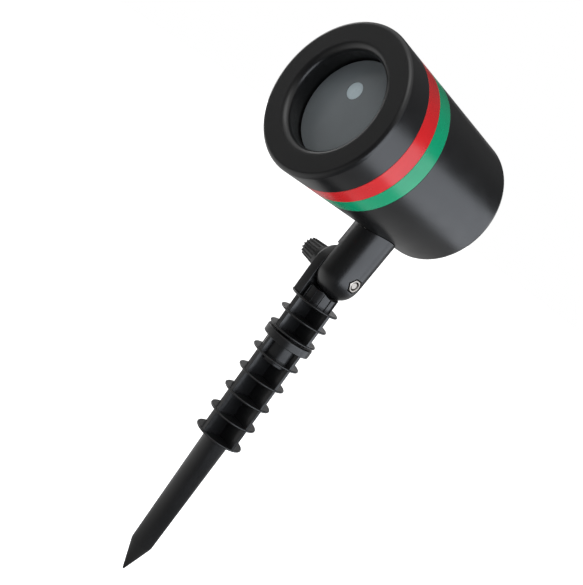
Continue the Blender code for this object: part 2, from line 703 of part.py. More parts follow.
def build_neck():
    """The neck: a tube with a ball end, cut flat beside the ear, with a hexagonal pocket for the nut."""
    top = AXIS_HEIGHT
    ball = []
    for x, z in arc(0, 0, 1, 0, -90, 8):
        power = 2 / NECK_END_SQUARENESS
        ball.append((NECK_RADIUS * max(x, 0) ** power, -NECK_END * abs(z) ** power))
    profile = [(0, top), (NECK_RADIUS, top), *ball]
    neck = turned("neck", profile, "black", sides=HEAD_SIDES, parent=TILT_AXIS, location=(HEAD_X, 0, 0))

    clearance = [
        (0, HEAD_LENGTH),
        (skin(HEAD_LENGTH) + SEAT_GAP, HEAD_LENGTH),
        (skin(0) + SEAT_GAP, 0),
        (skin(0) + SEAT_GAP, -AXIS_HEIGHT),
        (0, -AXIS_HEIGHT),
    ]
    cut(neck, turned("neck_saddle", clearance, parent=HEAD_AXIS))

    def spigot(bm):
        low = AXIS_HEIGHT - skin(NECK_TO_REAR) - NECK_RADIUS / 2
        rod(bm, SPIGOT_RADIUS, low, spigot_top, centre=(HEAD_X, 0))

    def pilot_holes(bm):
        seat = AXIS_HEIGHT + PAD_TOP
        for y in (-NECK_SCREW_OFFSET, NECK_SCREW_OFFSET):
            rod(bm, SCREW_HOLE, seat - LONG_SCREW - SEAT_GAP, seat, sides=SCREW_SIDES, centre=(HEAD_X, y))

    def ear_side(bm):
        wide = 2 * NECK_RADIUS
        box(bm, (-wide, -wide, -wide), (NECK_FLAT, wide, NECK_SHOULDER))

    def bolt_hole(bm):
        rod(bm, HOLE_RADIUS, -2 * NECK_RADIUS, NECK_SIDE + NUT_THICKNESS, axis="X")

    def nut_pocket(bm):
        hexagon(bm, NUT_FLATS + 2 * POCKET_PLAY, -NECK_SIDE - NUT_THICKNESS, -POCKET_FLOOR)

    spigot_top = AXIS_HEIGHT + PAD_TOP + SCREW_HEAD_HEIGHT
    join(neck, solid("neck_spigot", spigot, parent=TILT_AXIS))
    cut(neck, solid("neck_pilot_holes", pilot_holes, parent=TILT_AXIS))
    cut(neck, solid("neck_ear_side", ear_side, parent=TILT_AXIS))
    cut(neck, solid("neck_bolt_hole", bolt_hole, parent=TILT_AXIS))
    cut(neck, solid("neck_nut_pocket", nut_pocket, parent=CLAMP_AXIS))
    seat = AXIS_HEIGHT + PAD_TOP + SEAT_GAP
    for name, y in (("neck_screw_front", -NECK_SCREW_OFFSET), ("neck_screw_rear", NECK_SCREW_OFFSET)):
        screw(name, (HEAD_X, y, seat), TILT_AXIS, length=LONG_SCREW)


def build_clamp():
    """The pivot bolt with its nut and washer, and the fluted knob that holds the bolt's head."""

    def nut(bm):
        hexagon(bm, NUT_FLATS, -NUT_OUTSIDE, -NUT_INSIDE)

    def nut_bore(bm):
        rod(bm, HOLE_RADIUS, -NUT_OUTSIDE - NUT_THICKNESS, -NUT_INSIDE + NUT_THICKNESS)

    pivot_nut = bevel(solid("pivot_nut", nut, "steel", parent=CLAMP_AXIS), NUT_EDGE)
    cut(pivot_nut, solid("pivot_nut_bore", nut_bore, parent=CLAMP_AXIS))

    profile = [
        (WASHER_RADIUS, WASHER_SEAT + WASHER_THICKNESS),
        (WASHER_RADIUS, WASHER_SEAT),
        (HOLE_RADIUS, WASHER_SEAT),
        (HOLE_RADIUS, WASHER_SEAT + WASHER_THICKNESS),
    ]
    turned("pivot_washer", profile, "steel", sides=SMALL_SIDES, ring=True, parent=CLAMP_AXIS)

    head_seat = KNOB_END - KNOB_SOCKET_DEPTH + SEAT_GAP
    bolt_end = -NUT_OUTSIDE + BOLT_SHORT

    def shank(bm):
        rod(bm, BOLT_RADIUS, bolt_end, head_seat + BOLT_HEAD / 2)

    def head(bm):
        hexagon(bm, NUT_FLATS, head_seat, head_seat + BOLT_HEAD)

    bolt = solid("pivot_bolt", shank, "steel", parent=CLAMP_AXIS)
    join(bolt, solid("bolt_head", head, parent=CLAMP_AXIS))

    grip = KNOB_SEAT + KNOB_SKIRT
    edge = FLUTE_RADIUS
    profile = [
        (0, KNOB_END),
        (KNOB_END_RADIUS - edge, KNOB_END),
        (KNOB_END_RADIUS, KNOB_END - edge),
        (KNOB_GRIP_RADIUS, grip),
        (KNOB_SKIRT_RADIUS, grip),
        (KNOB_SKIRT_RADIUS, KNOB_SEAT),
        (0, KNOB_SEAT),
    ]
    knob = turned("clamp_knob", profile, "black", sides=4 * KNOB_FLUTES, parent=CLAMP_AXIS)
    slope = math.atan2(KNOB_GRIP_RADIUS - KNOB_END_RADIUS, KNOB_END - grip)
    middle = (KNOB_GRIP_RADIUS + KNOB_END_RADIUS) / 2

    def flutes(bm):
        length = KNOB_END - grip
        for i in range(KNOB_FLUTES):
            turn = Matrix.Rotation(2 * math.pi * (i + 0.5) / KNOB_FLUTES, 4, "Z")
            lean = Matrix.Rotation(-slope, 4, "Y")
            place = Matrix.Translation((middle, 0, (grip + KNOB_END) / 2 + length / 10))
            matrix = turn @ place @ lean
            bmesh.ops.create_cone(
                bm,
                cap_ends=True,
                segments=6,
                radius1=FLUTE_RADIUS,
                radius2=FLUTE_RADIUS,
                depth=length,
                matrix=matrix,
            )

    def knob_bore(bm):
        rod(bm, HOLE_RADIUS, KNOB_SEAT - KNOB_SKIRT, KNOB_END + KNOB_SKIRT)

    def knob_socket(bm):
        hexagon(bm, NUT_FLATS + 2 * SEAT_GAP, KNOB_END - KNOB_SOCKET_DEPTH, KNOB_END + KNOB_SKIRT)

    cut(knob, solid("knob_flutes", flutes, parent=CLAMP_AXIS))
    cut(knob, solid("knob_bore", knob_bore, parent=CLAMP_AXIS))
    cut(knob, solid("knob_socket", knob_socket, parent=CLAMP_AXIS))


def disc_profile(core, centre, points):
    """Add one round disc on the core to a profile that runs down."""
    half = DISC_THICKNESS / 2
    points += [(core, centre + half), (DISC_RADIUS - half, centre + half), (DISC_RADIUS, centre)]
    points += [(DISC_RADIUS - half, centre - half), (core, centre - half)]


def cross(top, bottom):
    """Return a function that adds the two crossed ribs of a stake."""

    def build(bm):
        half = RIB_THICKNESS / 2
        box(bm, (-RIB_REACH, -half, bottom), (RIB_REACH, half, top))

    def build_other(bm):
        half = RIB_THICKNESS / 2
        box(bm, (-half, -RIB_REACH, bottom), (half, RIB_REACH, top))

    return build, build_other


def ear_blank():
    """The ear as a flat outline with a round top, extruded to its thickness."""
    curve = bpy.data.curves.new("ear_outline", "CURVE")
    curve.dimensions = "2D"
    curve.fill_mode = "BOTH"
    curve.extrude = EAR_THICKNESS / 2
    steps = 20
    rim = [(EAR_RADIUS * math.cos(math.pi * i / steps), EAR_RADIUS * math.sin(math.pi * i / steps))
           for i in range(steps + 1)]
    foot = -PIVOT_HEIGHT - DISC_THICKNESS / 2
    outline = [*rim, (-EAR_RADIUS, foot), (EAR_RADIUS, foot)]
    spline = curve.splines.new("POLY")
    spline.points.add(len(outline) - 1)
    for point, (y, z) in zip(spline.points, outline):
        point.co = (y, z, 0, 1)
    spline.use_cyclic_u = True
    # The outline lies in the plane of Y and Z, and the extrusion runs along X
    place = Matrix.Translation((EAR_OUTSIDE + EAR_THICKNESS / 2, 0, PIVOT_HEIGHT))
    mesh = mesh_of_curve(curve, place @ Matrix(((0, 0, 1, 0), (1, 0, 0, 0), (0, 1, 0, 0), (0, 0, 0, 1))))
    bm = bmesh.new()
    bm.from_mesh(mesh)
    for side, width, segments in ((EAR_OUTSIDE, EAR_ROUND, 3), (EAR_INSIDE, EAR_EDGE, 1)):
        edges = [
            edge for edge in bm.edges
            if all(abs(vert.co.x - side) < SEAT_GAP for vert in edge.verts) and len(edge.link_faces) == 2
            and edge.calc_face_angle() > math.radians(50)
            and any(vert.co.z > 0 for vert in edge.verts)
        ]
        bmesh.ops.bevel(bm, geom=edges, offset=width, segments=segments, profile=0.5, affect="EDGES")
    bm.to_mesh(mesh)
    bm.free()
    return add_object("ear_blank", mesh)


def build_upper_stake():
    """The upper stake: the ear and boss that carry the neck, discs on a cross, and a plug below."""
    profile = [
        (0, BOSS_HEIGHT),
        (BOSS_RADIUS - BOSS_RIB, BOSS_HEIGHT),
        (BOSS_RADIUS, BOSS_HEIGHT - BOSS_RIB),
    ]
    for i in range(UPPER_DISCS):
        centre = -DISC_THICKNESS / 2 - i * UPPER_PITCH
        disc = []
        disc_profile(CORE_RADIUS, centre, disc)
        if i == 0:
            disc[0] = (BOSS_RADIUS, disc[0][1])
        if i == UPPER_DISCS - 1:
            disc[-1] = (PLUG_RADIUS, disc[-1][1])
        profile += disc
    profile += [(PLUG_RADIUS, PLUG_END + BOSS_RIB), (PLUG_RADIUS - BOSS_RIB, PLUG_END), (0, PLUG_END)]
    stake = turned("upper_stake", profile, "black", sides=STAKE_SIDES)

    along, across = cross(-DISC_THICKNESS / 2, UPPER_END + DISC_THICKNESS / 2)
    join(stake, solid("upper_rib_along", along))
    join(stake, solid("upper_rib_across", across))

    def boss_ribs(bm):
        for i in range(BOSS_RIBS):
            turn = Matrix.Rotation(BOSS_RIB_TURN + 2 * math.pi * i / BOSS_RIBS, 4, "Z")
            start = len(bm.verts)
            low = (BOSS_RADIUS - 2 * BOSS_RIB, -BOSS_RIB / 2, -DISC_THICKNESS / 2)
            box(bm, low, (BOSS_RADIUS + BOSS_RIB, BOSS_RIB / 2, BOSS_HEIGHT - 2 * BOSS_RIB))
            bm.verts.ensure_lookup_table()
            bmesh.ops.transform(bm, matrix=turn, verts=bm.verts[start:])

    def ear_hole(bm):
        rod(bm, HOLE_RADIUS, 2 * EAR_OUTSIDE, -EAR_OUTSIDE, centre=(0, PIVOT_HEIGHT), axis="X")

    join(stake, solid("boss_ribs", boss_ribs))
    join(stake, ear_blank())
    cut(stake, solid("ear_hole", ear_hole))


def build_lower_stake():
    """The lower stake: a collar and socket, discs on a cross, and a smooth spike."""
    edge = DISC_THICKNESS / 4
    outside = SOCKET_RADIUS + SOCKET_WALL
    socket_end = SOCKET_BOTTOM - SOCKET_FLOOR
    profile = [
        (0, COLLAR_TOP),
        (COLLAR_RADIUS - COLLAR_EDGE, COLLAR_TOP),
        (COLLAR_RADIUS, COLLAR_TOP - COLLAR_EDGE),
        (COLLAR_RADIUS, COLLAR_BOTTOM + edge),
        (COLLAR_RADIUS - edge, COLLAR_BOTTOM),
        (outside, COLLAR_BOTTOM),
    ]
    for i in range(LOWER_DISCS):
        core = outside if i == 0 else CORE_RADIUS
        disc_profile(core, LOWER_FIRST - i * LOWER_PITCH, profile)
        if i == 0:
            profile += [(outside, socket_end), (CORE_RADIUS, socket_end)]
    profile[-1] = (SPIKE_TOP_RADIUS, SPIKE_START)
    profile += [(SPIKE_LOW_RADIUS, SPIKE_END), (POINT_RADIUS, TIP), (0, TIP)]
    stake = turned("lower_stake", profile, "black", sides=STAKE_SIDES)

    along, across = cross(COLLAR_BOTTOM + COLLAR_HEIGHT / 2, LOWER_LAST)
    join(stake, solid("lower_rib_along", along))
    join(stake, solid("lower_rib_across", across))

    def socket(bm):
        rod(bm, SOCKET_RADIUS, SOCKET_BOTTOM, COLLAR_TOP + COLLAR_HEIGHT, sides=STAKE_SIDES)

    cut(stake, solid("stake_socket", socket))


def build_optics():
    """The chassis disc with its light shroud and grating, and the laser block with both modules."""
    profile = [
        (0, CHASSIS_FRONT),
        (CHASSIS_RADIUS, CHASSIS_FRONT),
        (CHASSIS_RADIUS, CHASSIS_BACK),
        (0, CHASSIS_BACK),
    ]
    chassis = turned("chassis_disc", profile, "aluminium", parent=HEAD_AXIS)
    block_screw_places = [(LENS_X - BLOCK_SCREW_OFFSET, LENS_Y), (LENS_X + BLOCK_SCREW_OFFSET, LENS_Y)]

    def chassis_holes(bm):
        low = CHASSIS_BACK - CHASSIS_THICKNESS
        high = CHASSIS_FRONT + CHASSIS_THICKNESS
        for place in CHASSIS_SCREW_PLACES + block_screw_places:
            rod(bm, SCREW_HOLE, low, high, sides=SCREW_SIDES, centre=place)
        rod(bm, BEAM_RADIUS, low, high, centre=(LENS_X, LENS_Y))

    cut(chassis, solid("chassis_holes", chassis_holes, parent=HEAD_AXIS))
    for i, (x, y) in enumerate(CHASSIS_SCREW_PLACES):
        screw(f"chassis_screw_{i + 1}", (x, y, CHASSIS_BACK - SEAT_GAP), HEAD_AXIS, (math.pi, 0, 0))

    back = CHASSIS_FRONT + SEAT_GAP
    front = WINDOW_BACK - SEAT_GAP
    step = back + GRATING_THICKNESS + 2 * SEAT_GAP
    recess = GRATING_RADIUS + SEAT_GAP
    profile = [
        (SHROUD_RADIUS, front),
        (SHROUD_RADIUS, back),
        (recess, back),
        (recess, step),
        (SHROUD_RADIUS - SHROUD_WALL, step),
        (SHROUD_RADIUS - SHROUD_WALL, front),
    ]
    lens_place = {"parent": HEAD_AXIS, "location": (LENS_X, LENS_Y, 0)}
    turned("light_shroud", profile, "black", sides=SMALL_SIDES, ring=True, **lens_place)
    low = back + SEAT_GAP
    profile = [
        (0, low + GRATING_THICKNESS),
        (GRATING_RADIUS, low + GRATING_THICKNESS),
        (GRATING_RADIUS, low),
        (0, low),
    ]
    turned("diffraction_grating", profile, "glass", sides=SMALL_SIDES, **lens_place)

    def block(bm):
        low = (LENS_X - BLOCK_WIDTH / 2, LENS_Y - BLOCK_BELOW, BLOCK_BACK)
        box(bm, low, (LENS_X + BLOCK_WIDTH / 2, LENS_Y + BLOCK_ABOVE, BLOCK_FRONT))

    def fin_slots(bm):
        pitch = BLOCK_WIDTH / BLOCK_FINS
        top = LENS_Y + BLOCK_ABOVE
        for i in range(BLOCK_FINS - 1):
            x = LENS_X - BLOCK_WIDTH / 2 + (i + 1) * pitch
            low = (x - pitch / 4, top - FIN_DEPTH, BLOCK_BACK - pitch)
            box(bm, low, (x + pitch / 4, top + pitch, BLOCK_FRONT + pitch))

    def green_bore(bm):
        low = BLOCK_BACK - GREEN_RADIUS
        rod(bm, GREEN_RADIUS + SEAT_GAP, low, BLOCK_FRONT + GREEN_RADIUS, centre=(LENS_X, LENS_Y))

    def red_bore(bm):
        high = LENS_X + BLOCK_WIDTH
        rod(bm, RED_RADIUS + SEAT_GAP, LENS_X, high, centre=(LENS_Y, COMBINER_Z), axis="X")

    def combiner_slot(bm):
        slot = [size / 2 + SEAT_GAP for size in (COMBINER_LENGTH, COMBINER_WIDTH, COMBINER_THICKNESS)]
        low = (LENS_X - slot[0], LENS_Y - slot[1], COMBINER_Z - slot[2])
        high = (LENS_X + slot[0], LENS_Y + slot[1], COMBINER_Z + slot[2])
        box(bm, low, high, Matrix.Rotation(-math.pi / 4, 4, "Y"))

    def block_pilot_holes(bm):
        low = BLOCK_FRONT - SHORT_SCREW
        for place in block_screw_places:
            rod(bm, SCREW_HOLE, low, BLOCK_FRONT + SCREW_RADIUS, sides=SCREW_SIDES, centre=place)
        low = LENS_Y - BLOCK_BELOW - SCREW_RADIUS
        high = LENS_Y - BLOCK_BELOW + SHORT_SCREW
        for x, _ in block_screw_places:
            place = (x, BLOCK_FRONT - BOARD_SCREW_BACK)
            rod(bm, SCREW_HOLE, low, high, sides=SCREW_SIDES, centre=place, axis="Y")

    laser_block = solid("laser_block", block, "aluminium", parent=HEAD_AXIS)
    cut(laser_block, solid("block_fin_slots", fin_slots, parent=HEAD_AXIS))
    cut(laser_block, solid("block_green_bore", green_bore, parent=HEAD_AXIS))
    cut(laser_block, solid("block_red_bore", red_bore, parent=HEAD_AXIS))
    cut(laser_block, solid("block_combiner_slot", combiner_slot, parent=HEAD_AXIS))
    cut(laser_block, solid("block_pilot_holes", block_pilot_holes, parent=HEAD_AXIS))
    for name, place in zip(("block_screw_left", "block_screw_right"), block_screw_places):
        screw(name, (*place, CHASSIS_FRONT + SEAT_GAP), HEAD_AXIS)

    def green_laser(bm):
        high = COMBINER_Z - MODULE_TO_COMBINER
        rod(bm, GREEN_RADIUS, high - GREEN_LENGTH, high, centre=(LENS_X, LENS_Y))

    def red_laser(bm):
        low = LENS_X + MODULE_TO_COMBINER
        rod(bm, RED_RADIUS, low, low + RED_LENGTH, centre=(LENS_Y, COMBINER_Z), axis="X")

    def combiner(bm):
        low = (
            LENS_X - COMBINER_LENGTH / 2,
            LENS_Y - COMBINER_WIDTH / 2,
            COMBINER_Z - COMBINER_THICKNESS / 2,
        )
        high = (
            LENS_X + COMBINER_LENGTH / 2,
            LENS_Y + COMBINER_WIDTH / 2,
            COMBINER_Z + COMBINER_THICKNESS / 2,
        )
        box(bm, low, high, Matrix.Rotation(-math.pi / 4, 4, "Y"))

    solid("green_laser", green_laser, "brass", parent=HEAD_AXIS)
    solid("red_laser", red_laser, "brass", parent=HEAD_AXIS)
    solid("beam_combiner", combiner, "glass", parent=HEAD_AXIS)


def lead(name, points, finish="rubber"):
    """A short insulated lead inside the head, on a smooth curve through a few points."""
    curve = bpy.data.curves.new(name, "CURVE")
    curve.dimensions = "3D"
    curve.bevel_depth = LEAD_RADIUS
    curve.bevel_resolution = 1
    curve.use_fill_caps = True
    spline = curve.splines.new("POLY")
    path = []
    spans = len(points) - 1
    steps = 3
    for i in range(spans):
        before = points[max(i - 1, 0)]
        start = points[i]
        end = points[i + 1]
        after = points[min(i + 2, spans)]
        for step in range(steps):
            t = step / steps
            path.append(tuple(curve_between(before[k], start[k], end[k], after[k], t) for k in range(3)))
    path.append(points[-1])
    spline.points.add(len(path) - 1)
    for point, co in zip(spline.points, path):
        point.co = (*co, 1)
    mesh = mesh_of_curve(curve)
    round_off(mesh)
    return add_object(name, mesh, finish, parent=HEAD_AXIS)


def curve_between(before, start, end, after, t):
    """One coordinate of a smooth curve between start and end."""
    slope_in = (end - before) / 2
    slope_out = (after - start) / 2
    rise = end - start
    return start + slope_in * t + (3 * rise - 2 * slope_in - slope_out) * t ** 2 + (
        slope_in + slope_out - 2 * rise
    ) * t ** 3


def build_electronics():
    """The driver board under the laser block, its spacers and screws, and the leads."""
    block_bottom = LENS_Y - BLOCK_BELOW
    spacer_top = block_bottom - SEAT_GAP
    board_top = spacer_top - SPACER_HEIGHT - SEAT_GAP
    board_bottom = board_top - BOARD_THICKNESS
    board_front = BLOCK_FRONT - SCREW_HEAD_RADIUS
    board_back = board_front - BOARD_LENGTH
    screw_z = BLOCK_FRONT - BOARD_SCREW_BACK
    screw_places = [LENS_X - BLOCK_SCREW_OFFSET, LENS_X + BLOCK_SCREW_OFFSET]

    def board(bm):
        low = (BOARD_X - BOARD_WIDTH / 2, board_bottom, board_back)
        box(bm, low, (BOARD_X + BOARD_WIDTH / 2, board_top, board_front))

    def components(bm):
        sunk = BOARD_THICKNESS / 2
        low = board_bottom - CAPACITOR_HEIGHT
        for x in (BOARD_X - BOARD_WIDTH / 4, BOARD_X):
            place = (x, board_back + BOARD_LENGTH / 4)
            rod(bm, CAPACITOR_RADIUS, low, board_bottom + sunk, sides=SCREW_SIDES, centre=place, axis="Y")
        place = (BOARD_X + BOARD_WIDTH / 4, board_back + BOARD_LENGTH / 3)
        rod(bm, COIL_RADIUS, board_bottom - COIL_HEIGHT, board_bottom + sunk, SCREW_SIDES, place, "Y")
        low = (BOARD_X + BOARD_WIDTH / 4 - TERMINAL_SIZE, board_bottom - TERMINAL_SIZE, board_back)
        box(bm, low, (BOARD_X + BOARD_WIDTH / 4, board_bottom + sunk, board_back + TERMINAL_SIZE))

    def board_holes(bm):
        low = board_bottom - BOARD_THICKNESS
        high = board_top + BOARD_THICKNESS
        for x in screw_places:
            rod(bm, SCREW_HOLE, low, high, sides=SCREW_SIDES, centre=(x, screw_z), axis="Y")

    driver = solid("driver_board", board, "board", parent=HEAD_AXIS)
    join(driver, solid("board_components", components, parent=HEAD_AXIS))
    cut(driver, solid("board_holes", board_holes, parent=HEAD_AXIS))

    spacer_bottom = spacer_top - SPACER_HEIGHT
    profile = [
        (SPACER_RADIUS, spacer_top),
        (SPACER_RADIUS, spacer_bottom),
        (SCREW_HOLE, spacer_bottom),
        (SCREW_HOLE, spacer_top),
    ]
    for side, x in zip(("left", "right"), screw_places):
        place = {"parent": HEAD_AXIS, "location": (x, 0, screw_z), "rotation": (-math.pi / 2, 0, 0)}
        turned("board_spacer_" + side, profile, "brass", sides=SCREW_SIDES, ring=True, **place)
        seat = (x, board_bottom - SEAT_GAP, screw_z)
        screw("board_screw_" + side, seat, HEAD_AXIS, (math.pi / 2, 0, 0), LONG_SCREW)

    terminal = (BOARD_X + BOARD_WIDTH / 4 - TERMINAL_SIZE / 2, board_bottom - TERMINAL_SIZE / 2, board_back)
    gland_mouth = COVER_THICKNESS + SEAT_GAP + GLAND_NUT + SCREW_RADIUS
    start = gland_mouth + SEAT_GAP
    mouth_wall = (GLAND_BORE + GLAND_THREAD_RADIUS) / 2 - GLAND_DROP
    lead(
        "supply_lead",
        [
            (0, mouth_wall, start),
            (0, mouth_wall, start + GLAND_NUT),
            (terminal[0] / 2, (terminal[1] + mouth_wall) / 2, (start + board_back) / 2),
            (terminal[0], terminal[1], board_back - GLAND_NUT),
            (terminal[0], terminal[1], board_back - SEAT_GAP),
        ],
    )
    green_back = COMBINER_Z - MODULE_TO_COMBINER - GREEN_LENGTH
    landing = board_back + TERMINAL_SIZE
    lead(
        "green_lead",
        [
            (LENS_X, LENS_Y, green_back - SEAT_GAP),
            (LENS_X, LENS_Y, green_back - GREEN_RADIUS),
            (LENS_X, (LENS_Y + board_top) / 2, landing),
            (LENS_X, board_top + 5 * LEAD_RADIUS, landing),
            (LENS_X, board_top + SEAT_GAP, landing),
        ],
    )
    red_end = LENS_X + MODULE_TO_COMBINER + RED_LENGTH
    side = BOARD_X + BOARD_WIDTH / 2 - 2 * LEAD_RADIUS
    lead(
        "red_lead",
        [
            (red_end + SEAT_GAP, LENS_Y, COMBINER_Z),
            (red_end + RED_RADIUS, LENS_Y, COMBINER_Z),
            (red_end + RED_RADIUS, LENS_Y / 2, COMBINER_Z - RED_RADIUS),
            (side, board_top + 5 * LEAD_RADIUS, COMBINER_Z - 2 * RED_RADIUS),
            (side, board_top + SEAT_GAP, COMBINER_Z - 2 * RED_RADIUS),
        ],
    )


build_shell()
build_bands()
build_bezel()
build_window()
build_rear()
build_gland()
build_neck()
build_clamp()
build_upper_stake()
build_lower_stake()
build_optics()
build_electronics()
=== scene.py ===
"""Looks for the outdoor laser light projector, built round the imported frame.

Lengths are in millimetres until a mesh is placed. Pieces of the head are made on its own axis, where z
runs forwards from the rear plane. Pieces of the clamp are made on the bolt's axis, where z runs from the
nut to the knob.
"""

import json
import math

import bmesh
import bpy
from mathutils import Matrix, Vector


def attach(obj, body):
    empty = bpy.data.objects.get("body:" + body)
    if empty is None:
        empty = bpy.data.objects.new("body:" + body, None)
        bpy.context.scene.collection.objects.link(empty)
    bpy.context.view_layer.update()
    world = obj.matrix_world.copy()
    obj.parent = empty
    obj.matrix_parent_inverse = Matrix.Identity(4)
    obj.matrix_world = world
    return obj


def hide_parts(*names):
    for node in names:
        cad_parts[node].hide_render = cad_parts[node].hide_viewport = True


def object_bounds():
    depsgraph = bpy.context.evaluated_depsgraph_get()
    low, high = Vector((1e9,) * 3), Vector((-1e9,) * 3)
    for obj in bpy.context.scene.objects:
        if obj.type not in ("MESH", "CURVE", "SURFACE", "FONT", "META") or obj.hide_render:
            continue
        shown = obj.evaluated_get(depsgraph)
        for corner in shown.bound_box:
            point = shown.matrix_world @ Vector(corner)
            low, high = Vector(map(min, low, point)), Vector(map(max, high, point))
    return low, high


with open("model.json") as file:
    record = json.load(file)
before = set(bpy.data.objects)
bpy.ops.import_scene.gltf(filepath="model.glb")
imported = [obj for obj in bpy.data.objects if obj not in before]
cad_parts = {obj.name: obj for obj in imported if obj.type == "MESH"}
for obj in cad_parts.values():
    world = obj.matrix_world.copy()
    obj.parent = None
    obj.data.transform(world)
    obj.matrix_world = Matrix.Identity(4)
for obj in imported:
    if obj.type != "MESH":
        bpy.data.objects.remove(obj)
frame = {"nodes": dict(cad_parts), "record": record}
CAD_BOX = [list(corner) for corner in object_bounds()]
NODES = frame["nodes"]

MM = 0.001
TILT = math.radians(5.4)
PIVOT_HEIGHT = 24.15
HEAD_X = 4.0
AXIS_HEIGHT = 78.3
NECK_TO_REAR = 30.9


def shift(x, y, z):
    """A move in millimetres."""
    return Matrix.Translation((x * MM, y * MM, z * MM))


PIVOT = shift(0, 0, PIVOT_HEIGHT)
TILTED = PIVOT @ Matrix.Rotation(-TILT, 4, "X")
HEAD = TILTED @ shift(HEAD_X, NECK_TO_REAR, AXIS_HEIGHT) @ Matrix.Rotation(math.pi / 2, 4, "X")
CLAMP = TILTED @ Matrix.Rotation(-math.pi / 2, 4, "Y")
EAR_AXIS = PIVOT @ Matrix.Rotation(-math.pi / 2, 4, "Y")


# Materials

def new_material(name, colour, roughness, metallic=0.0):
    """A Principled material with its plain values on the shader's own sockets."""
    material = bpy.data.materials.new(name)
    material.use_nodes = True
    shader = material.node_tree.nodes["Principled BSDF"]
    shader.inputs["Base Color"].default_value = (*colour, 1.0)
    shader.inputs["Roughness"].default_value = roughness
    shader.inputs["Metallic"].default_value = metallic
    return material


def noise(material, scale, detail=3.0, stretch=(1.0, 1.0, 1.0)):
    """Noise in object space, in cycles per metre."""
    tree = material.node_tree
    place = tree.nodes.new("ShaderNodeTexCoord")
    mapping = tree.nodes.new("ShaderNodeMapping")
    mapping.inputs["Scale"].default_value = stretch
    texture = tree.nodes.new("ShaderNodeTexNoise")
    texture.inputs["Scale"].default_value = scale
    texture.inputs["Detail"].default_value = detail
    tree.links.new(place.outputs["Object"], mapping.inputs["Vector"])
    tree.links.new(mapping.outputs["Vector"], texture.inputs["Vector"])
    return texture.outputs["Fac"]


def between(material, value, low, high):
    """Spread the middle of a noise over a range."""
    node = material.node_tree.nodes.new("ShaderNodeMapRange")
    node.inputs["From Min"].default_value = 0.3
    node.inputs["From Max"].default_value = 0.7
    node.inputs["To Min"].default_value = low
    node.inputs["To Max"].default_value = high
    material.node_tree.links.new(value, node.inputs["Value"])
    return node.outputs["Result"]


def vary_roughness(material, value, low, high):
    """Let a noise move the roughness between two values."""
    shader = material.node_tree.nodes["Principled BSDF"]
    material.node_tree.links.new(between(material, value, low, high), shader.inputs["Roughness"])


def vary_colour(material, value, first, second):
    """Let a noise move the colour between two; sockets 6 and 7 are the mix node's colours."""
    tree = material.node_tree
    mix = tree.nodes.new("ShaderNodeMix")
    mix.data_type = "RGBA"
    for socket, colour in ((mix.inputs[6], first), (mix.inputs[7], second)):
        socket.default_value = (*colour, 1.0)
    tree.links.new(between(material, value, 0.0, 1.0), mix.inputs["Factor"])
    tree.links.new(mix.outputs[2], tree.nodes["Principled BSDF"].inputs["Base Color"])


def bump(material, heights, strength, distance):
    """Bump from one or more heights in a row."""
    tree = material.node_tree
    normal = None
    for height in heights:
        node = tree.nodes.new("ShaderNodeBump")
        node.inputs["Strength"].default_value = strength
        node.inputs["Distance"].default_value = distance * MM
        tree.links.new(height, node.inputs["Height"])
        if normal is not None:
            tree.links.new(normal, node.inputs["Normal"])
        normal = node.outputs["Normal"]
    tree.links.new(normal, tree.nodes["Principled BSDF"].inputs["Normal"])


def moulded(name, colour, roughness, spread=0.04, grain=0.10, gloss=0.5):
    """Moulded plastic: a fine grain, and a slow change in gloss and colour."""
    material = new_material(name, colour, roughness)
    vary_roughness(material, noise(material, 60.0, 4.0), roughness - spread, roughness + spread)
    lighter = [min(1.0, c * 1.12 + 0.0006) for c in colour]
    vary_colour(material, noise(material, 35.0, 5.0), colour, lighter)
    bump(material, [noise(material, 500.0), noise(material, 3000.0, 2.0)], grain, 0.05)
    material.node_tree.nodes["Principled BSDF"].inputs["Specular IOR Level"].default_value = gloss
    return material


def metal(name, colour, roughness):
    """Metal with fine turned scratches."""
    material = new_material(name, colour, roughness, metallic=1.0)
    scratches = noise(material, 900.0, 4.0, (12.0, 1.0, 1.0))
    vary_roughness(material, scratches, roughness - 0.06, roughness + 0.10)
    bump(material, [scratches], 0.15, 0.03)
    return material


MATERIALS = {
    "black_plastic": moulded("black_plastic", (0.0045, 0.0045, 0.0048), 0.32),
    "green_plastic": moulded("green_plastic", (0.001, 0.215, 0.098), 0.25, grain=0.04, gloss=0.35),
    "red_plastic": moulded("red_plastic", (0.430, 0.011, 0.013), 0.25, grain=0.04, gloss=0.35),
    "smoked_window": moulded("smoked_window", (0.142, 0.158, 0.166), 0.22, grain=0.01),
    "frosted_lens": moulded("frosted_lens", (0.44, 0.52, 0.55), 0.30, grain=0.03),
    "seal_rubber": moulded("seal_rubber", (0.012, 0.012, 0.012), 0.75),
    "lead_sleeve": moulded("lead_sleeve", (0.014, 0.014, 0.015), 0.55),
    "circuit_board": moulded("circuit_board", (0.02, 0.18, 0.06), 0.40),
    "optical_glass": moulded("optical_glass", (0.60, 0.70, 0.72), 0.08, spread=0.03, grain=0.01),
    "plated_steel": metal("plated_steel", (0.34, 0.315, 0.285), 0.26),
    "cast_aluminium": metal("cast_aluminium", (0.70, 0.71, 0.72), 0.40),
    "turned_brass": metal("turned_brass", (0.75, 0.53, 0.24), 0.28),
}
SLOT_OF = {entry["node"]: entry["material_slot"] for entry in frame["record"]["subparts"]}
BODY_OF = {node: body for body, nodes in frame["record"]["behaviour"]["bodies"].items() for node in nodes}

for node, slot in SLOT_OF.items():
    NODES[node].data.materials.clear()
    NODES[node].data.materials.append(MATERIALS[slot])


# Shapes

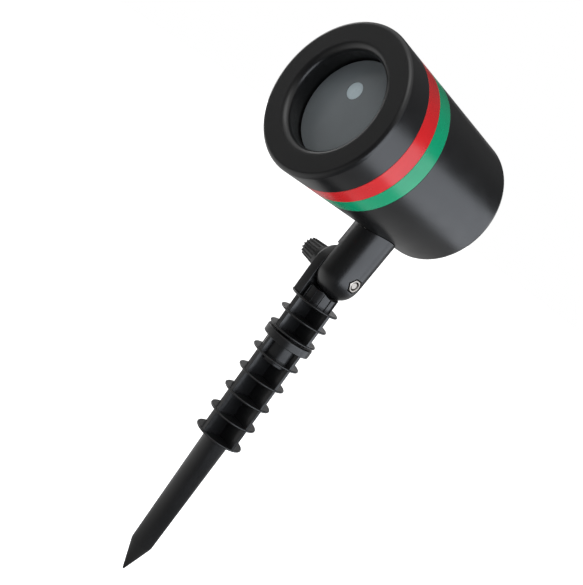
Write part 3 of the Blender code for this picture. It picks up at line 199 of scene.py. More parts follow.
def shape_mesh(name, bm, place, angle=32):
    """An object from a bmesh in millimetres, shaded smooth up to the angle."""
    bmesh.ops.recalc_face_normals(bm, faces=bm.faces)
    mesh = bpy.data.meshes.new(name)
    bm.to_mesh(mesh)
    bm.free()
    mesh.transform(place @ Matrix.Scale(MM, 4))
    mesh.shade_smooth()
    mesh.set_sharp_from_angle(angle=math.radians(angle))
    obj = bpy.data.objects.new(name, mesh)
    bpy.context.scene.collection.objects.link(obj)
    return obj


def arc(centre_r, centre_z, radius, start, end, steps):
    """Points of a profile's fillet, angles in degrees from +r towards +z."""
    points = []
    for i in range(steps + 1):
        angle = math.radians(start + (end - start) * i / steps)
        points.append((centre_r + radius * math.cos(angle), centre_z + radius * math.sin(angle)))
    return points


def held(profile, ring):
    """Add a point just inside each end of a long span, so that smooth shading keeps it flat."""
    edge = 0.12
    pairs = list(zip(profile, profile[1:]))
    if ring:
        pairs.append((profile[-1], profile[0]))
    points = []
    for (r0, z0), (r1, z1) in pairs:
        points.append((r0, z0))
        length = math.hypot(r1 - r0, z1 - z0)
        if length > 10 * edge:
            share = edge / length
            points.append((r0 + (r1 - r0) * share, z0 + (z1 - z0) * share))
            points.append((r1 - (r1 - r0) * share, z1 - (z1 - z0) * share))
    if not ring:
        points.append(profile[-1])
    return points


def lathe(name, profile, place=Matrix(), steps=128, ring=False, angle=32, shape=None):
    """Turn a profile of (r, z) about z; a ring's profile is closed. A shape changes r with the angle."""
    bm = bmesh.new()
    rows = []
    for r, z in held(profile, ring):
        if r < 0.0001:
            rows.append([bm.verts.new((0.0, 0.0, z))] * steps)
            continue
        row = []
        for i in range(steps):
            turn = 2 * math.pi * i / steps
            reach = shape(r, z, turn) if shape else r
            row.append(bm.verts.new((reach * math.cos(turn), reach * math.sin(turn), z)))
        rows.append(row)
    pairs = list(zip(rows, rows[1:]))
    if ring:
        pairs.append((rows[-1], rows[0]))
    for upper, lower in pairs:
        for i in range(steps):
            j = (i + 1) % steps
            corners = list(dict.fromkeys((upper[i], lower[i], lower[j], upper[j])))
            if len(corners) > 2:
                bm.faces.new(corners)
    return shape_mesh(name, bm, place, angle)


def loft(name, rows, place=Matrix(), angle=32):
    """Join rows of points, each a closed outline, and cap both ends."""
    bm = bmesh.new()
    rings = [[bm.verts.new(point) for point in row] for row in rows]
    for first, second in zip(rings, rings[1:]):
        for i in range(len(first)):
            j = (i + 1) % len(first)
            bm.faces.new((first[i], first[j], second[j], second[i]))
    bm.faces.new(rings[0])
    bm.faces.new(rings[-1])
    return shape_mesh(name, bm, place, angle)


def circle(radius, steps, turn=0.0, centre=(0.0, 0.0)):
    points = []
    for i in range(steps):
        angle = turn + 2 * math.pi * i / steps
        points.append((centre[0] + radius * math.cos(angle), centre[1] + radius * math.sin(angle)))
    return points


def prism(name, outline, low, high, place=Matrix()):
    """Extrude an outline of (x, y) along z."""
    return loft(name, [[(x, y, low) for x, y in outline], [(x, y, high) for x, y in outline]], place)


def hexagon(name, flats, low, high, place=Matrix()):
    return prism(name, circle(flats / math.sqrt(3), 6, math.pi / 2), low, high, place)


def box(name, low, high, place=Matrix(), edge=0.0):
    """A block between two corners, with its edges bevelled."""
    outline = [(low[0], low[1]), (high[0], low[1]), (high[0], high[1]), (low[0], high[1])]
    block = prism(name, outline, low[2], high[2], place)
    if edge:
        bm = bmesh.new()
        bm.from_mesh(block.data)
        bmesh.ops.bevel(bm, geom=bm.edges, offset=edge * MM, segments=2, profile=0.5, affect="EDGES")
        bm.to_mesh(block.data)
        bm.free()
    return block


def combine(obj, other, operation, angle=32):
    """Apply a Boolean with another object, which is used up."""
    modifier = obj.modifiers.new("combine", "BOOLEAN")
    modifier.operation = operation
    modifier.object = other
    graph = bpy.context.evaluated_depsgraph_get()
    mesh = bpy.data.meshes.new_from_object(obj.evaluated_get(graph))
    obj.modifiers.clear()
    obj.data = mesh
    bm = bmesh.new()
    bm.from_mesh(mesh)
    bmesh.ops.remove_doubles(bm, verts=bm.verts, dist=0.002 * MM)
    bmesh.ops.dissolve_degenerate(bm, dist=0.002 * MM, edges=bm.edges)
    bm.to_mesh(mesh)
    bm.free()
    mesh.shade_smooth()
    mesh.set_sharp_from_angle(angle=math.radians(angle))
    bpy.data.objects.remove(other)
    return obj


def cut(obj, *others):
    for other in others:
        combine(obj, other, "DIFFERENCE")
    return obj


def join(obj, *others):
    for other in others:
        combine(obj, other, "UNION")
    return obj


def dress(obj, node, material=None):
    """Let a piece stand for a CAD node, on its body and with its finish."""
    slot = SLOT_OF[node]
    obj.data.materials.clear()
    obj.data.materials.append(material or MATERIALS[slot])
    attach(obj, BODY_OF[node])
    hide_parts(node)
    return obj


# Head, measured along its axis from the rear plane

HEAD_LENGTH = 132.7
FRONT_RADIUS = 50.0
REAR_RADIUS = 44.15
REAR_ROUND = 6.0
SHELL_WALL = 2.6
BAND_DEPTH = 2.3
SLEEVE_WALL = 2.4
RED_FRONT = HEAD_LENGTH - 21.4
GREEN_FRONT = RED_FRONT - 13.95
SHOULDER = GREEN_FRONT - 13.5
SLEEVE_FRONT = RED_FRONT + 9.0
WINDOW_FRONT = HEAD_LENGTH - 19.95
WINDOW_BACK = WINDOW_FRONT - 2.8
LEDGE_FRONT = WINDOW_BACK - 1.8
LEDGE_BACK = LEDGE_FRONT - 5.0
MOUTH_ROUND = 4.6
THROAT_RADIUS = 32.2
THROAT_FLOOR = 34.6
THROAT_OUTSIDE = 37.9
PANE_FRONT = HEAD_LENGTH - 16.2
PANE_RADIUS = 33.3
SEAM = 0.1
BREAK = 0.15


def skin(z):
    """Radius of the head's tapered outside at z."""
    return REAR_RADIUS + (FRONT_RADIUS - REAR_RADIUS) * z / HEAD_LENGTH


def sleeve(z):
    return skin(z) - BAND_DEPTH


def bore(z):
    return sleeve(z) - SLEEVE_WALL


def around(count, radius, start):
    """Places of a bolt circle."""
    return circle(radius, count, start)


COVER_HOLE = 37.35
COVER_RADIUS = COVER_HOLE - 0.3
COVER_LEDGE = COVER_RADIUS - 8.0
COVER_THICKNESS = 3.2
LEDGE_REAR = 4.8
LEDGE_END = 9.8
LEDGE_RADIUS = bore(LEDGE_BACK) - 7.5
COVER_SCREWS = around(4, (COVER_LEDGE + COVER_RADIUS) / 2, math.pi / 4)
CHASSIS_SCREWS = around(3, (LEDGE_RADIUS + bore(LEDGE_BACK)) / 2, math.pi / 2)
SCREW_HOLE = 1.8
SPIGOT_RADIUS = 6.0
NECK_SCREW_OFFSET = 9.8
PAD_RADIUS = 14.0
PAD_DEPTH = 5.6
PAD_TOP = -skin(NECK_TO_REAR) + PAD_DEPTH
PAD_HOLES = (-56.0, -30.0)
ACROSS = Matrix.Rotation(-math.pi / 2, 4, "X")


def shell():
    profile = [
        (sleeve(SLEEVE_FRONT), SLEEVE_FRONT),
        (sleeve(SHOULDER), SHOULDER),
        (skin(SHOULDER) - BREAK, SHOULDER),
        (skin(SHOULDER - BREAK), SHOULDER - BREAK),
        *arc(REAR_RADIUS - REAR_ROUND, REAR_ROUND, REAR_ROUND, 0, -90, 16),
        (COVER_HOLE + 0.2, 0),
        (COVER_HOLE, 0.2),
        (COVER_HOLE, LEDGE_REAR),
        (COVER_LEDGE, LEDGE_REAR),
        (COVER_LEDGE, LEDGE_END),
        (skin(LEDGE_END) - SHELL_WALL, LEDGE_END),
        (skin(SHOULDER) - SHELL_WALL, SHOULDER - 2 * SHELL_WALL),
        (bore(SHOULDER), SHOULDER - SHELL_WALL),
        (bore(LEDGE_BACK), LEDGE_BACK),
        (LEDGE_RADIUS, LEDGE_BACK),
        (LEDGE_RADIUS, LEDGE_FRONT),
        (bore(LEDGE_FRONT), LEDGE_FRONT),
        (bore(SLEEVE_FRONT), SLEEVE_FRONT),
    ]
    body = lathe("head_shell", profile, HEAD, 160, ring=True)
    middle = SHELL_WALL / 2
    inner = [(0, SHOULDER), (skin(SHOULDER) - middle, SHOULDER), (skin(0) - middle, 0), (0, 0)]
    below = HEAD @ shift(0, 0, NECK_TO_REAR) @ ACROSS
    pad = prism("pad", circle(PAD_RADIUS, 48), -skin(NECK_TO_REAR) - PAD_DEPTH, PAD_TOP, below)
    combine(pad, lathe("pad_underside", inner, HEAD, 160), "INTERSECT")
    join(body, pad)
    holes = [prism("spigot_hole", circle(SPIGOT_RADIUS + 0.3, 32), *PAD_HOLES, below)]
    for y in (-NECK_SCREW_OFFSET, NECK_SCREW_OFFSET):
        holes.append(prism("screw_hole", circle(SCREW_HOLE, 16, 0, (0, y)), *PAD_HOLES, below))
    for x, y in COVER_SCREWS:
        holes.append(prism("cover_hole", circle(SCREW_HOLE, 16, 0, (x, y)), 3.0, 12.0, HEAD))
    for x, y in CHASSIS_SCREWS:
        ledge_hole = circle(SCREW_HOLE, 16, 0, (x, y))
        holes.append(prism("ledge_hole", ledge_hole, LEDGE_BACK - 1.5, LEDGE_BACK + 4.5, HEAD))
    dress(cut(body, *holes), "body_shell")


def stripe(name, back, front, node):
    low = back + SEAM
    high = front - SEAM
    profile = [
        (skin(high) - BREAK, high),
        (skin(high - BREAK), high - BREAK),
        (skin(low + BREAK), low + BREAK),
        (skin(low) - BREAK, low),
        (skin(low) - 2.0, low),
        (skin(high) - 2.0, high),
    ]
    dress(lathe(name, profile, HEAD, 160, ring=True), node)


def bezel():
    back = RED_FRONT + SEAM
    inside = HEAD_LENGTH - 2.6
    profile = [
        *arc(FRONT_RADIUS - 3.0, HEAD_LENGTH - 3.0, 3.0, 90, 0, 12),
        (skin(back + BREAK), back + BREAK),
        (skin(back) - BREAK, back),
        (skin(back) - 2.2, back),
        (skin(inside) - 2.2, inside),
        (THROAT_OUTSIDE, inside),
        (THROAT_OUTSIDE, WINDOW_FRONT + 0.3),
        (THROAT_FLOOR, WINDOW_FRONT + 0.3),
        *arc(THROAT_RADIUS + MOUTH_ROUND, HEAD_LENGTH - MOUTH_ROUND, MOUTH_ROUND, 180, 90, 16),
    ]
    dress(lathe("bezel_ring", profile, HEAD, 160, ring=True), "front_bezel")


LENS_PLACE = HEAD @ shift(-7.0, 11.3, 0)
LENS_RADIUS = 5.4
LENS_RISE = 0.6


def window():
    """The smoked window, raised in the throat, and the emitter lens, with its rim down in a hole."""
    radius = bore(WINDOW_BACK) - 0.3
    profile = [
        (0, PANE_FRONT),
        *arc(PANE_RADIUS - 0.4, PANE_FRONT - 0.4, 0.4, 90, 0, 4),
        (PANE_RADIUS, WINDOW_FRONT),
        (radius, WINDOW_FRONT),
        (radius, WINDOW_BACK),
        (0, WINDOW_BACK),
    ]
    pane = lathe("window_pane", profile, HEAD, 128)
    outline = circle(LENS_RADIUS + 0.2, 64)
    dress(cut(pane, prism("lens_hole", outline, WINDOW_BACK - 1, PANE_FRONT + 1, LENS_PLACE)), "window")
    sphere = LENS_RADIUS ** 2 / (2 * LENS_RISE) + LENS_RISE / 2
    half_angle = math.degrees(math.asin(LENS_RADIUS / sphere))
    rim = LENS_RADIUS + 0.1
    profile = [
        *arc(0, PANE_FRONT + LENS_RISE - sphere, sphere, 90, 90 - half_angle, 8),
        (rim, PANE_FRONT - 0.1),
        (rim, WINDOW_BACK),
        (0, WINDOW_BACK),
    ]
    dress(lathe("lens_dome", profile, LENS_PLACE, 64), "emitter_lens")


def pan_screw(name, node, place, seat):
    """A pan head screw with a cross recess, which points along z from its seat."""
    shank = 1.5
    end = seat + 6.0
    profile = [
        (0, seat - 1.8),
        *arc(1.8, seat - 0.9, 0.9, -90, 0, 6),
        (2.7, seat),
        (shank, seat),
        (shank, end - 0.8),
        (shank / 2, end),
        (0, end),
    ]
    body = lathe(name, profile, place, 48)
    deep = seat - 0.9
    high = seat - 2.4
    slots = [
        box("slot", (-1.45, -0.3, high), (1.45, 0.3, deep), place),
        box("slot", (-0.3, -1.45, high), (0.3, 1.45, deep), place),
    ]
    dress(cut(body, *slots), node)


GLAND = HEAD @ shift(0, -15.0, 0)
GLAND_HOLE = 7.3
COUNTERBORE = 3.3
COUNTERBORE_DEPTH = 1.5


def rear():
    """The rear cover with the hole for the cable gland, and its screws."""
    profile = [
        (0, COVER_THICKNESS),
        (COVER_RADIUS, COVER_THICKNESS),
        *arc(COVER_RADIUS - 0.5, 0.5, 0.5, 0, -90, 5),
        (0, 0),
    ]
    cover = lathe("cover_disc", profile, HEAD, 128)
    through = COVER_THICKNESS + 1
    holes = [prism("gland_hole", circle(GLAND_HOLE, 48), -1, through, GLAND)]
    for x, y in COVER_SCREWS:
        holes.append(prism("screw_hole", circle(SCREW_HOLE, 16, 0, (x, y)), -1, through, HEAD))
        holes.append(prism("counterbore", circle(COUNTERBORE, 48, 0, (x, y)), -1, COUNTERBORE_DEPTH, HEAD))
    dress(cut(cover, *holes), "rear_cover")
    for i, (x, y) in enumerate(COVER_SCREWS):
        pan_screw(f"rear_screw_{i + 1}", f"cover_screw_{i + 1}", HEAD @ shift(x, y, 0), 1.2)


def turned_hexagon(name, flats, low, high, place, reach=0.96):
    """A hexagon whose corners are turned off at 30 degrees on both ends."""
    corner = flats / math.sqrt(3) + 0.2
    rim = flats / 2 * reach
    drop = (corner - rim) * math.tan(math.radians(30))
    profile = [(0, high), (rim, high), (corner, high - drop), (corner, low + drop), (rim, low), (0, low)]
    corners = lathe("corners", profile, place, 96)
    return combine(hexagon(name, flats, low, high, place), corners, "INTERSECT")


def gland():
    """Body and domed cap of the cable gland; the cap has grip ridges."""
    bore_radius = 4.0
    face = -0.3
    flange = face - 3.0
    neck_end = flange - 7.0
    body = turned_hexagon("gland_hexagon", 19.0, flange, face, GLAND)
    join(body, prism("gland_thread", circle(7.0, 64), neck_end, COVER_THICKNESS + 4.8, GLAND))
    inside = prism("gland_bore", circle(bore_radius, 64), neck_end - 3, COVER_THICKNESS + 9, GLAND)
    dress(cut(body, inside), "gland_body")

    outside = 9.5
    wall = 1.6
    low = flange - 0.3
    top = low - 12.0
    dome = outside - bore_radius - wall
    ridges = 24

    def ridged(r, z, turn):
        """Shallow grooves between flat ridges, on the straight side only."""
        if r < outside - 0.1 or z < top + dome:
            return r
        wave = abs((turn * ridges / (2 * math.pi)) % 1.0 - 0.5) * 2
        return r - 0.45 * max(0.0, 1.0 - (wave / 0.55) ** 2) ** 0.5

    profile = [
        (bore_radius + 0.2, top),
        *[(r, top + dome - z) for r, z in arc(outside - dome, 0, dome, 90, 0, 12)],
        (outside, top + dome + 0.2),
        (outside, low - 0.3),
        (outside - 0.3, low),
        (GLAND_HOLE, low),
        (GLAND_HOLE, top + wall),
        (bore_radius, top + wall),
        (bore_radius, top + 0.2),
    ]
    dress(lathe("gland_dome", profile, GLAND, ridges * 12, ring=True, shape=ridged), "gland_cap")


# Neck and clamp

NECK_RADIUS = 15.0
NECK_END = 15.9
NECK_END_SQUARENESS = 2.4
NECK_FLAT = -2.7
NECK_SHOULDER = 14.5
POCKET_FLOOR = 14.6
NUT_FLATS = 8.0
POCKET_PLAY = 0.8
NUT_INSIDE = 14.9
NUT_OUTSIDE = 18.9
BOLT_RADIUS = 2.5
HOLE_RADIUS = 2.8
THREAD_PITCH = 0.8
KNOB_SEAT = 13.1
KNOB_GRIP = KNOB_SEAT + 5.4
KNOB_END = KNOB_SEAT + 19.4


def neck():
    top = AXIS_HEIGHT
    end = []
    for x, z in arc(0, 0, 1, 0, -90, 24):
        power = 2 / NECK_END_SQUARENESS
        end.append((NECK_RADIUS * max(x, 0) ** power, -NECK_END * abs(z) ** power))
    place = TILTED @ shift(HEAD_X, 0, 0)
    tube = lathe("neck_tube", [(0, top), (NECK_RADIUS, top), *end], place, 128)
    saddle = [(0, 150), (skin(150) + 0.15, 150), (skin(0) + 0.15, 0), (skin(0) + 0.15, -80), (0, -80)]
    cut(tube, lathe("saddle", saddle, HEAD, 160))
    spigot_top = AXIS_HEIGHT + PAD_TOP + 1.8
    join(tube, prism("spigot", circle(SPIGOT_RADIUS, 48), 28, spigot_top, place))
    seat = AXIS_HEIGHT + PAD_TOP
    holes = []
    for y in (-NECK_SCREW_OFFSET, NECK_SCREW_OFFSET):
        holes.append(prism("pilot_hole", circle(SCREW_HOLE, 16, 0, (0, y)), seat - 12.3, seat, place))
    holes.append(box("ear_side", (-40, -40, -40), (NECK_FLAT, 40, NECK_SHOULDER), TILTED))
    holes.append(prism("bolt_hole", circle(HOLE_RADIUS, 48), -40, 40, CLAMP))
    holes.append(hexagon("nut_pocket", NUT_FLATS + 2 * POCKET_PLAY, -40, -POCKET_FLOOR, CLAMP))
    dress(cut(tube, *holes), "neck")


def clamp():
    """The nut in its pocket, the bolt with its thread's end showing, the washer and the fluted knob."""
    nut = turned_hexagon("hex_nut", NUT_FLATS, -NUT_OUTSIDE, -NUT_INSIDE, CLAMP)
    mouth = HOLE_RADIUS + 0.4
    sink = [
        (0, -40),
        (mouth, -40),
        (mouth, -NUT_OUTSIDE),
        (HOLE_RADIUS, -NUT_OUTSIDE + 0.4),
        (HOLE_RADIUS, 0),
        (0, 0),
    ]
    dress(cut(nut, lathe("nut_bore", sink, CLAMP, 48)), "pivot_nut")

    head_seat = KNOB_END - 3.7
    bolt_end = -NUT_OUTSIDE + 0.6
    crest = BOLT_RADIUS
    root = BOLT_RADIUS - 0.3
    profile = [(0, head_seat + 1.0), (crest, head_seat + 1.0)]
    z = -NUT_INSIDE + 1.0
    while z > bolt_end + THREAD_PITCH:
        profile += [(crest, z), (root, z - THREAD_PITCH * 0.45), (crest, z - THREAD_PITCH * 0.9)]
        z -= THREAD_PITCH
    profile += [(crest - 0.1, bolt_end + 0.3), (crest - 0.5, bolt_end), (0, bolt_end)]
    bolt = lathe("bolt_shank", profile, CLAMP, 48)
    head = turned_hexagon("bolt_head", NUT_FLATS, head_seat, head_seat + 3.5, CLAMP)
    dress(join(bolt, head), "pivot_bolt")

    rim = 6.0
    near = 11.8
    far = near + 1.0
    profile = [
        (rim, far - 0.1),
        (rim, near + 0.1),
        (rim - 0.1, near),
        (HOLE_RADIUS, near),
        (HOLE_RADIUS, far),
        (rim - 0.1, far),
    ]
    dress(lathe("flat_washer", profile, CLAMP, 64, ring=True), "pivot_washer")

    skirt = 8.4
    grip = 8.1
    tip = 6.8
    hollow = 5.05
    flutes = 16

    def taper(z):
        """Radius over the ridges of the grip."""
        return grip + (tip - grip) * (z - KNOB_GRIP) / (KNOB_END - KNOB_GRIP)

    def fluted(r, z, turn):
        """Round-bottomed flutes along the grip."""
        if z < KNOB_GRIP + 0.05 or r < hollow + 0.05:
            return r
        wave = abs((turn * flutes / (2 * math.pi)) % 1.0 - 0.5) * 2
        return r - 1.05 * max(0.0, 1.0 - (wave / 0.72) ** 2) ** 0.5

    profile = [
        (0, KNOB_END),
        (hollow, KNOB_END),
        *arc(taper(KNOB_END) - 0.6, KNOB_END - 0.6, 0.6, 90, 10, 5),
        (taper(KNOB_GRIP + 0.06), KNOB_GRIP + 0.06),
        (skirt - 0.2, KNOB_GRIP),
        (skirt, KNOB_GRIP - 0.2),
        (skirt, KNOB_SEAT + 0.3),
        (skirt - 0.3, KNOB_SEAT),
        (0, KNOB_SEAT),
    ]
    knob = lathe("fluted_knob", profile, CLAMP, flutes * 16, angle=38, shape=fluted)
    socket = hexagon("knob_socket", NUT_FLATS + 0.6, KNOB_END - 4.0, KNOB_END + 5, CLAMP)
    knob_bore = prism("knob_bore", circle(HOLE_RADIUS, 48), 0, KNOB_END + 5, CLAMP)
    dress(cut(knob, knob_bore, socket), "clamp_knob")


# Stake

DISC_RADIUS = 17.25
DISC_HALF = 0.7
CORE_RADIUS = 1.5
RIB_REACH = 16.4
RIB_HALF = 1.2
BOSS_HEIGHT = 9.75
TROUGH_RADIUS = 16.7
BOSS_RADIUS = 11.2
BOSS_RIBS = 12
BOSS_RIB = 0.7
UPPER_PITCH = 12.2
UPPER_DISCS = 3
UPPER_END = -(UPPER_DISCS - 1) * UPPER_PITCH - 2 * DISC_HALF
PLUG_RADIUS = 9.0
PLUG_END = UPPER_END - 18.75
COLLAR_TOP = UPPER_END - 1.35
COLLAR_LOW = COLLAR_TOP - 5.7
COLLAR_RADIUS = 16.9
COLLAR_EDGE = 1.0
SOCKET_RADIUS = PLUG_RADIUS + 0.3
SOCKET_OUTSIDE = SOCKET_RADIUS + 2.8
SOCKET_BOTTOM = PLUG_END - 0.3
SOCKET_END = SOCKET_BOTTOM - 2.4
LOWER_FIRST = COLLAR_LOW - 10.95
LOWER_PITCH = 16.12
LOWER_DISCS = 5
LOWER_LAST = LOWER_FIRST - (LOWER_DISCS - 1) * LOWER_PITCH
SPIKE_START = LOWER_LAST - DISC_HALF
SPIKE_END = SPIKE_START - 89.7
TIP = SPIKE_END - 21.9
SPIKE_TOP = 9.2
SPIKE_LOW = 7.7


def disc(centre, above, below):
    """Points of a disc with a rounded rim, between the radii of what it stands on."""
    rim = arc(DISC_RADIUS - DISC_HALF, centre, DISC_HALF, 90, -90, 8)
    return [(above, centre + DISC_HALF), *rim, (below, centre - DISC_HALF)]


def cross(low, high):
    """The two crossed ribs of a stake."""
    along = box("rib_along", (-RIB_REACH, -RIB_HALF, low), (RIB_REACH, RIB_HALF, high), edge=0.25)
    across = box("rib_across", (-RIB_HALF, -RIB_REACH, low), (RIB_HALF, RIB_REACH, high), edge=0.25)
    return along, across


def ear():
    """The ear: rounded over outside, with a small edge inside, where it bears on the neck."""
    radius = 14.0
    outside = -11.5
    inside = -3.0
    foot = -DISC_HALF
    over = 2.5
    edge = 0.5

    def outline(x, inset):
        rim = arc(0, PIVOT_HEIGHT, radius - inset, 0, 180, 48)
        points = [*rim, (inset - radius, foot), (radius - inset, foot)]
        return [(x, y, z) for y, z in points]

    rows = []
    for r, z in arc(0, 0, over, 90, 0, 8):
        rows.append(outline(outside + over - z, over - r))
    rows.append(outline(inside - edge, 0))
    for r, z in arc(0, 0, edge, 0, 90, 3)[1:]:
        rows.append(outline(inside - edge + z, edge - r))
    return loft("ear", rows)


def upper_stake():
    """The ear, boss and discs. Its boss clears the neck's turning end, and its side when that lies flat."""
    rim = arc(BOSS_RADIUS - BOSS_RIB, BOSS_HEIGHT - BOSS_RIB, BOSS_RIB, 90, 0, 5)
    profile = [(0, BOSS_HEIGHT), *rim]
    for i in range(UPPER_DISCS):
        above = BOSS_RADIUS if i == 0 else CORE_RADIUS
        below = PLUG_RADIUS if i == UPPER_DISCS - 1 else CORE_RADIUS
        profile += disc(-DISC_HALF - i * UPPER_PITCH, above, below)
    profile += [(PLUG_RADIUS, PLUG_END + 0.7), (PLUG_RADIUS - 0.7, PLUG_END), (0, PLUG_END)]
    stake = lathe("upper_discs", profile)
    join(stake, *cross(UPPER_END + DISC_HALF, -DISC_HALF))
    for i in range(BOSS_RIBS):
        turn = Matrix.Rotation(math.radians(-6) + 2 * math.pi * i / BOSS_RIBS, 4, "Z")
        low = (BOSS_RADIUS - 2 * BOSS_RIB, -BOSS_RIB / 2, -DISC_HALF)
        high = (BOSS_RADIUS + BOSS_RIB, BOSS_RIB / 2, BOSS_HEIGHT - 2 * BOSS_RIB)
        join(stake, box("boss_rib", low, high, turn, 0.15))
    lying = shift(HEAD_X, 0, PIVOT_HEIGHT) @ Matrix.Rotation(math.pi / 2, 4, "X")
    cut(
        stake,
        prism("neck_trough", circle(TROUGH_RADIUS, 160), -30, 30, EAR_AXIS),
        prism("neck_groove", circle(NECK_RADIUS + 0.2, 160), -30, 30, lying),
    )
    join(stake, ear())
    dress(cut(stake, prism("ear_hole", circle(HOLE_RADIUS, 48), -30, 30, EAR_AXIS)), "upper_stake")


def lower_stake():
    """The collar with its socket, the discs on their ribs, and the spike."""
    profile = [
        (0, COLLAR_TOP),
        *arc(COLLAR_RADIUS - COLLAR_EDGE, COLLAR_TOP - COLLAR_EDGE, COLLAR_EDGE, 90, 0, 6),
        *arc(COLLAR_RADIUS - 0.35, COLLAR_LOW + 0.35, 0.35, 0, -90, 4),
        (SOCKET_OUTSIDE, COLLAR_LOW),
    ]
    for i in range(LOWER_DISCS):
        below = SPIKE_TOP if i == LOWER_DISCS - 1 else CORE_RADIUS
        if i == 0:
            profile += disc(LOWER_FIRST, SOCKET_OUTSIDE, SOCKET_OUTSIDE)
            profile += [(SOCKET_OUTSIDE, SOCKET_END + 0.3), (SOCKET_OUTSIDE - 0.3, SOCKET_END)]
            profile.append((CORE_RADIUS, SOCKET_END))
        else:
            profile += disc(LOWER_FIRST - i * LOWER_PITCH, CORE_RADIUS, below)
    profile += [(SPIKE_LOW + 0.05, SPIKE_END + 0.6), (SPIKE_LOW - 0.15, SPIKE_END - 0.5)]
    profile += [(0.8, TIP + 0.5), (0.5, TIP), (0, TIP)]
    stake = lathe("lower_discs", profile)
    join(stake, *cross(LOWER_LAST, COLLAR_LOW + 2.8))
    socket = prism("stake_socket", circle(SOCKET_RADIUS, 96), SOCKET_BOTTOM, COLLAR_TOP + 5)
    dress(cut(stake, socket), "lower_stake")


shell()
stripe("green_stripe", SHOULDER, GREEN_FRONT, "green_band")
stripe("red_stripe", GREEN_FRONT, RED_FRONT, "red_band")
bezel()
window()
rear()
gland()
neck()
clamp()
upper_stake()
lower_stake()


# Camera, from a fit to the photograph's outlines

camera_data = bpy.data.cameras.new("camera")
camera_data.sensor_fit = "HORIZONTAL"
camera_data.sensor_width = 36.0
camera_data.lens = 74.10
camera_data.clip_start = 0.01
camera_data.clip_end = 50.0
camera = bpy.data.objects.new("camera", camera_data)
bpy.context.scene.collection.objects.link(camera)
right = Vector((0.53516, 0.61736, 0.57660))
back = Vector((0.66914, -0.72642, 0.15672)).normalized()
up = back.cross(right).normalized()
right = up.cross(back)
spot = PIVOT.translation + Vector((499.01, -565.36, 91.41)) * MM
camera.matrix_world = Matrix.Translation(spot) @ Matrix((right, up, back)).transposed().to_4x4()
bpy.context.scene.camera = camera


# Floor, world and lamps

ACROSS_VIEW = Vector((0.7355, 0.6775, 0.0))
TOWARDS_VIEW = Vector((0.6775, -0.7355, 0.0))
FLOOR_SIZE = 12.0
FLOOR_GLOW = 0.88


def add_node(tree, kind, first, second=None):
    """A math node; each input is a socket or a plain value."""
    node = tree.nodes.new("ShaderNodeMath")
    node.operation = kind
    for slot, value in zip(node.inputs, (first, second)):
        if isinstance(value, bpy.types.NodeSocket):
            tree.links.new(value, slot)
        elif value is not None:
            slot.default_value = value
    return node.outputs[0]


def along(tree, place, direction):
    """How far a place or direction lies along another direction."""
    node = tree.nodes.new("ShaderNodeVectorMath")
    node.operation = "DOT_PRODUCT"
    node.inputs[1].default_value = direction
    tree.links.new(place, node.inputs[0])
    return node.outputs["Value"]


def ramp(tree, value, start, end, low, high):
    """A smooth change from low to high between two values."""
    node = tree.nodes.new("ShaderNodeMapRange")
    node.interpolation_type = "SMOOTHSTEP"
    node.inputs["From Min"].default_value = start
    node.inputs["From Max"].default_value = end
    node.inputs["To Min"].default_value = low
    node.inputs["To Max"].default_value = high
    tree.links.new(value, node.inputs["Value"])
    return node.outputs["Result"]


def seen_directly(tree, path):
    """1 where the camera looks, also through glass."""
    return add_node(tree, "MAXIMUM", path.outputs["Is Camera Ray"], path.outputs["Is Transmission Ray"])


def add_floor():
    """A pale floor that keeps the object's soft shadow; a gloss sees it bright at the left and behind."""
    material = new_material("floor", (0.85, 0.85, 0.85), 0.9)
    tree = material.node_tree
    path = tree.nodes.new("ShaderNodeLightPath")
    shader = tree.nodes["Principled BSDF"]
    shader.inputs["Specular IOR Level"].default_value = 0.0
    shader.inputs["Emission Color"].default_value = (1.0, 1.0, 1.0, 1.0)
    glow = add_node(tree, "MULTIPLY", seen_directly(tree, path), FLOOR_GLOW)
    tree.links.new(glow, shader.inputs["Emission Strength"])
    place = tree.nodes.new("ShaderNodeTexCoord").outputs["Object"]
    left = ramp(tree, along(tree, place, -ACROSS_VIEW), -0.10, 0.30, 0.16, 1.15)
    rear = ramp(tree, along(tree, place, -TOWARDS_VIEW), 0.02, 0.28, 0.16, 0.5)
    front = ramp(tree, along(tree, place, TOWARDS_VIEW), 0.0, 0.45, 1.0, 0.35)
    reach = tree.nodes.new("ShaderNodeVectorMath")
    reach.operation = "LENGTH"
    tree.links.new(place, reach.inputs[0])
    far = ramp(tree, reach.outputs["Value"], 0.7, 1.7, 1.0, 0.15)
    mirrored = tree.nodes.new("ShaderNodeEmission")
    side = add_node(tree, "MAXIMUM", left, rear)
    level = add_node(tree, "MULTIPLY", add_node(tree, "MULTIPLY", side, front), far)
    tree.links.new(level, mirrored.inputs["Strength"])
    mix = tree.nodes.new("ShaderNodeMixShader")
    tree.links.new(path.outputs["Is Glossy Ray"], mix.inputs[0])
    tree.links.new(shader.outputs[0], mix.inputs[1])
    tree.links.new(mirrored.outputs[0], mix.inputs[2])
    tree.links.new(mix.outputs[0], tree.nodes["Material Output"].inputs["Surface"])
    bpy.ops.mesh.primitive_plane_add(size=FLOOR_SIZE, location=(0.0, 0.0, CAD_BOX[0][2] - 0.5 * MM))
    floor = bpy.context.object
    floor.name = "floor"
    floor.data.materials.append(material)


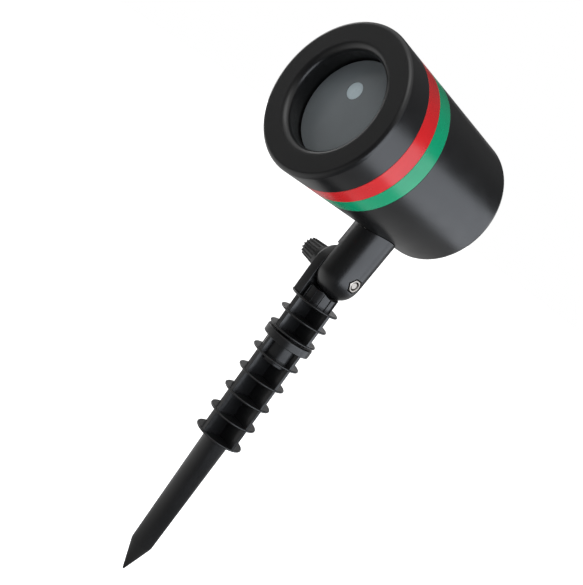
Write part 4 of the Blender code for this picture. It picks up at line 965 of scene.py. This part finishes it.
def add_world():
    """Soft light from above and the left; the camera, and gloss low down behind, see a white backdrop."""
    world = bpy.data.worlds.new("studio")
    bpy.context.scene.world = world
    world.use_nodes = True
    tree = world.node_tree
    path = tree.nodes.new("ShaderNodeLightPath")
    place = tree.nodes.new("ShaderNodeTexCoord").outputs["Generated"]
    height = along(tree, place, (0.0, 0.0, 1.0))
    low = ramp(tree, height, 0.12, 0.30, 1.0, 0.0)
    middle = (ACROSS_VIEW * 0.42 - TOWARDS_VIEW * 0.91).normalized()
    behind = ramp(tree, along(tree, place, middle), 0.62, 0.95, 0.0, 1.0)
    wall = ramp(tree, along(tree, place, -ACROSS_VIEW), 0.92, 0.99, 0.0, 0.28)
    above = ramp(tree, height, 0.15, 0.80, 0.11, 1.0)
    diagonal = (ACROSS_VIEW - TOWARDS_VIEW).normalized()
    right_rear = ramp(tree, along(tree, place, diagonal), -0.1, 0.6, 1.0, 0.2)
    backdrop = add_node(tree, "MULTIPLY", low, behind)
    gloss = add_node(tree, "MULTIPLY", path.outputs["Is Glossy Ray"], backdrop)
    ceiling = add_node(tree, "MULTIPLY", above, right_rear)
    soft = tree.nodes["Background"]
    tree.links.new(add_node(tree, "ADD", wall, ceiling), soft.inputs["Strength"])
    white = tree.nodes.new("ShaderNodeBackground")
    for node in (soft, white):
        node.inputs["Color"].default_value = (1.0, 1.0, 1.0, 1.0)
    mix = tree.nodes.new("ShaderNodeMixShader")
    tree.links.new(add_node(tree, "MAXIMUM", seen_directly(tree, path), gloss), mix.inputs[0])
    tree.links.new(soft.outputs[0], mix.inputs[1])
    tree.links.new(white.outputs[0], mix.inputs[2])
    tree.links.new(mix.outputs[0], tree.nodes["World Output"].inputs["Surface"])


def add_lamp(name, turn, height, distance, size, level, colour=(1.0, 1.0, 1.0)):
    """A soft box: its turn to the right of the view and its height are where it stands round the neck."""
    data = bpy.data.lights.new(name, "AREA")
    data.shape = "RECTANGLE"
    data.size = size[0]
    data.size_y = size[1]
    data.energy = level * math.pi * size[0] * size[1]
    data.color = colour
    lamp = bpy.data.objects.new(name, data)
    bpy.context.scene.collection.objects.link(lamp)
    angle = math.radians(turn)
    aim = TOWARDS_VIEW * math.cos(angle) + ACROSS_VIEW * math.sin(angle)
    lamp.location = aim * distance + Vector((0.0, 0.0, height))
    lamp.rotation_euler = (lamp.location - Vector((0.0, 0.0, 0.05))).to_track_quat("Z", "Y").to_euler()


add_floor()
add_world()
add_lamp("key", 46, 0.04, 0.52, (0.66, 0.42), 3.4, (0.87, 0.92, 1.0))
add_lamp("side", 98, 0.01, 0.52, (0.44, 0.42), 2.1, (0.87, 0.92, 1.0))
add_lamp("rim", -130, 0.32, 1.0, (0.60, 0.60), 2.2)
add_lamp("front", -40, 1.10, 0.90, (0.80, 0.80), 1.6)

bpy.context.scene.view_settings.view_transform = "Standard"
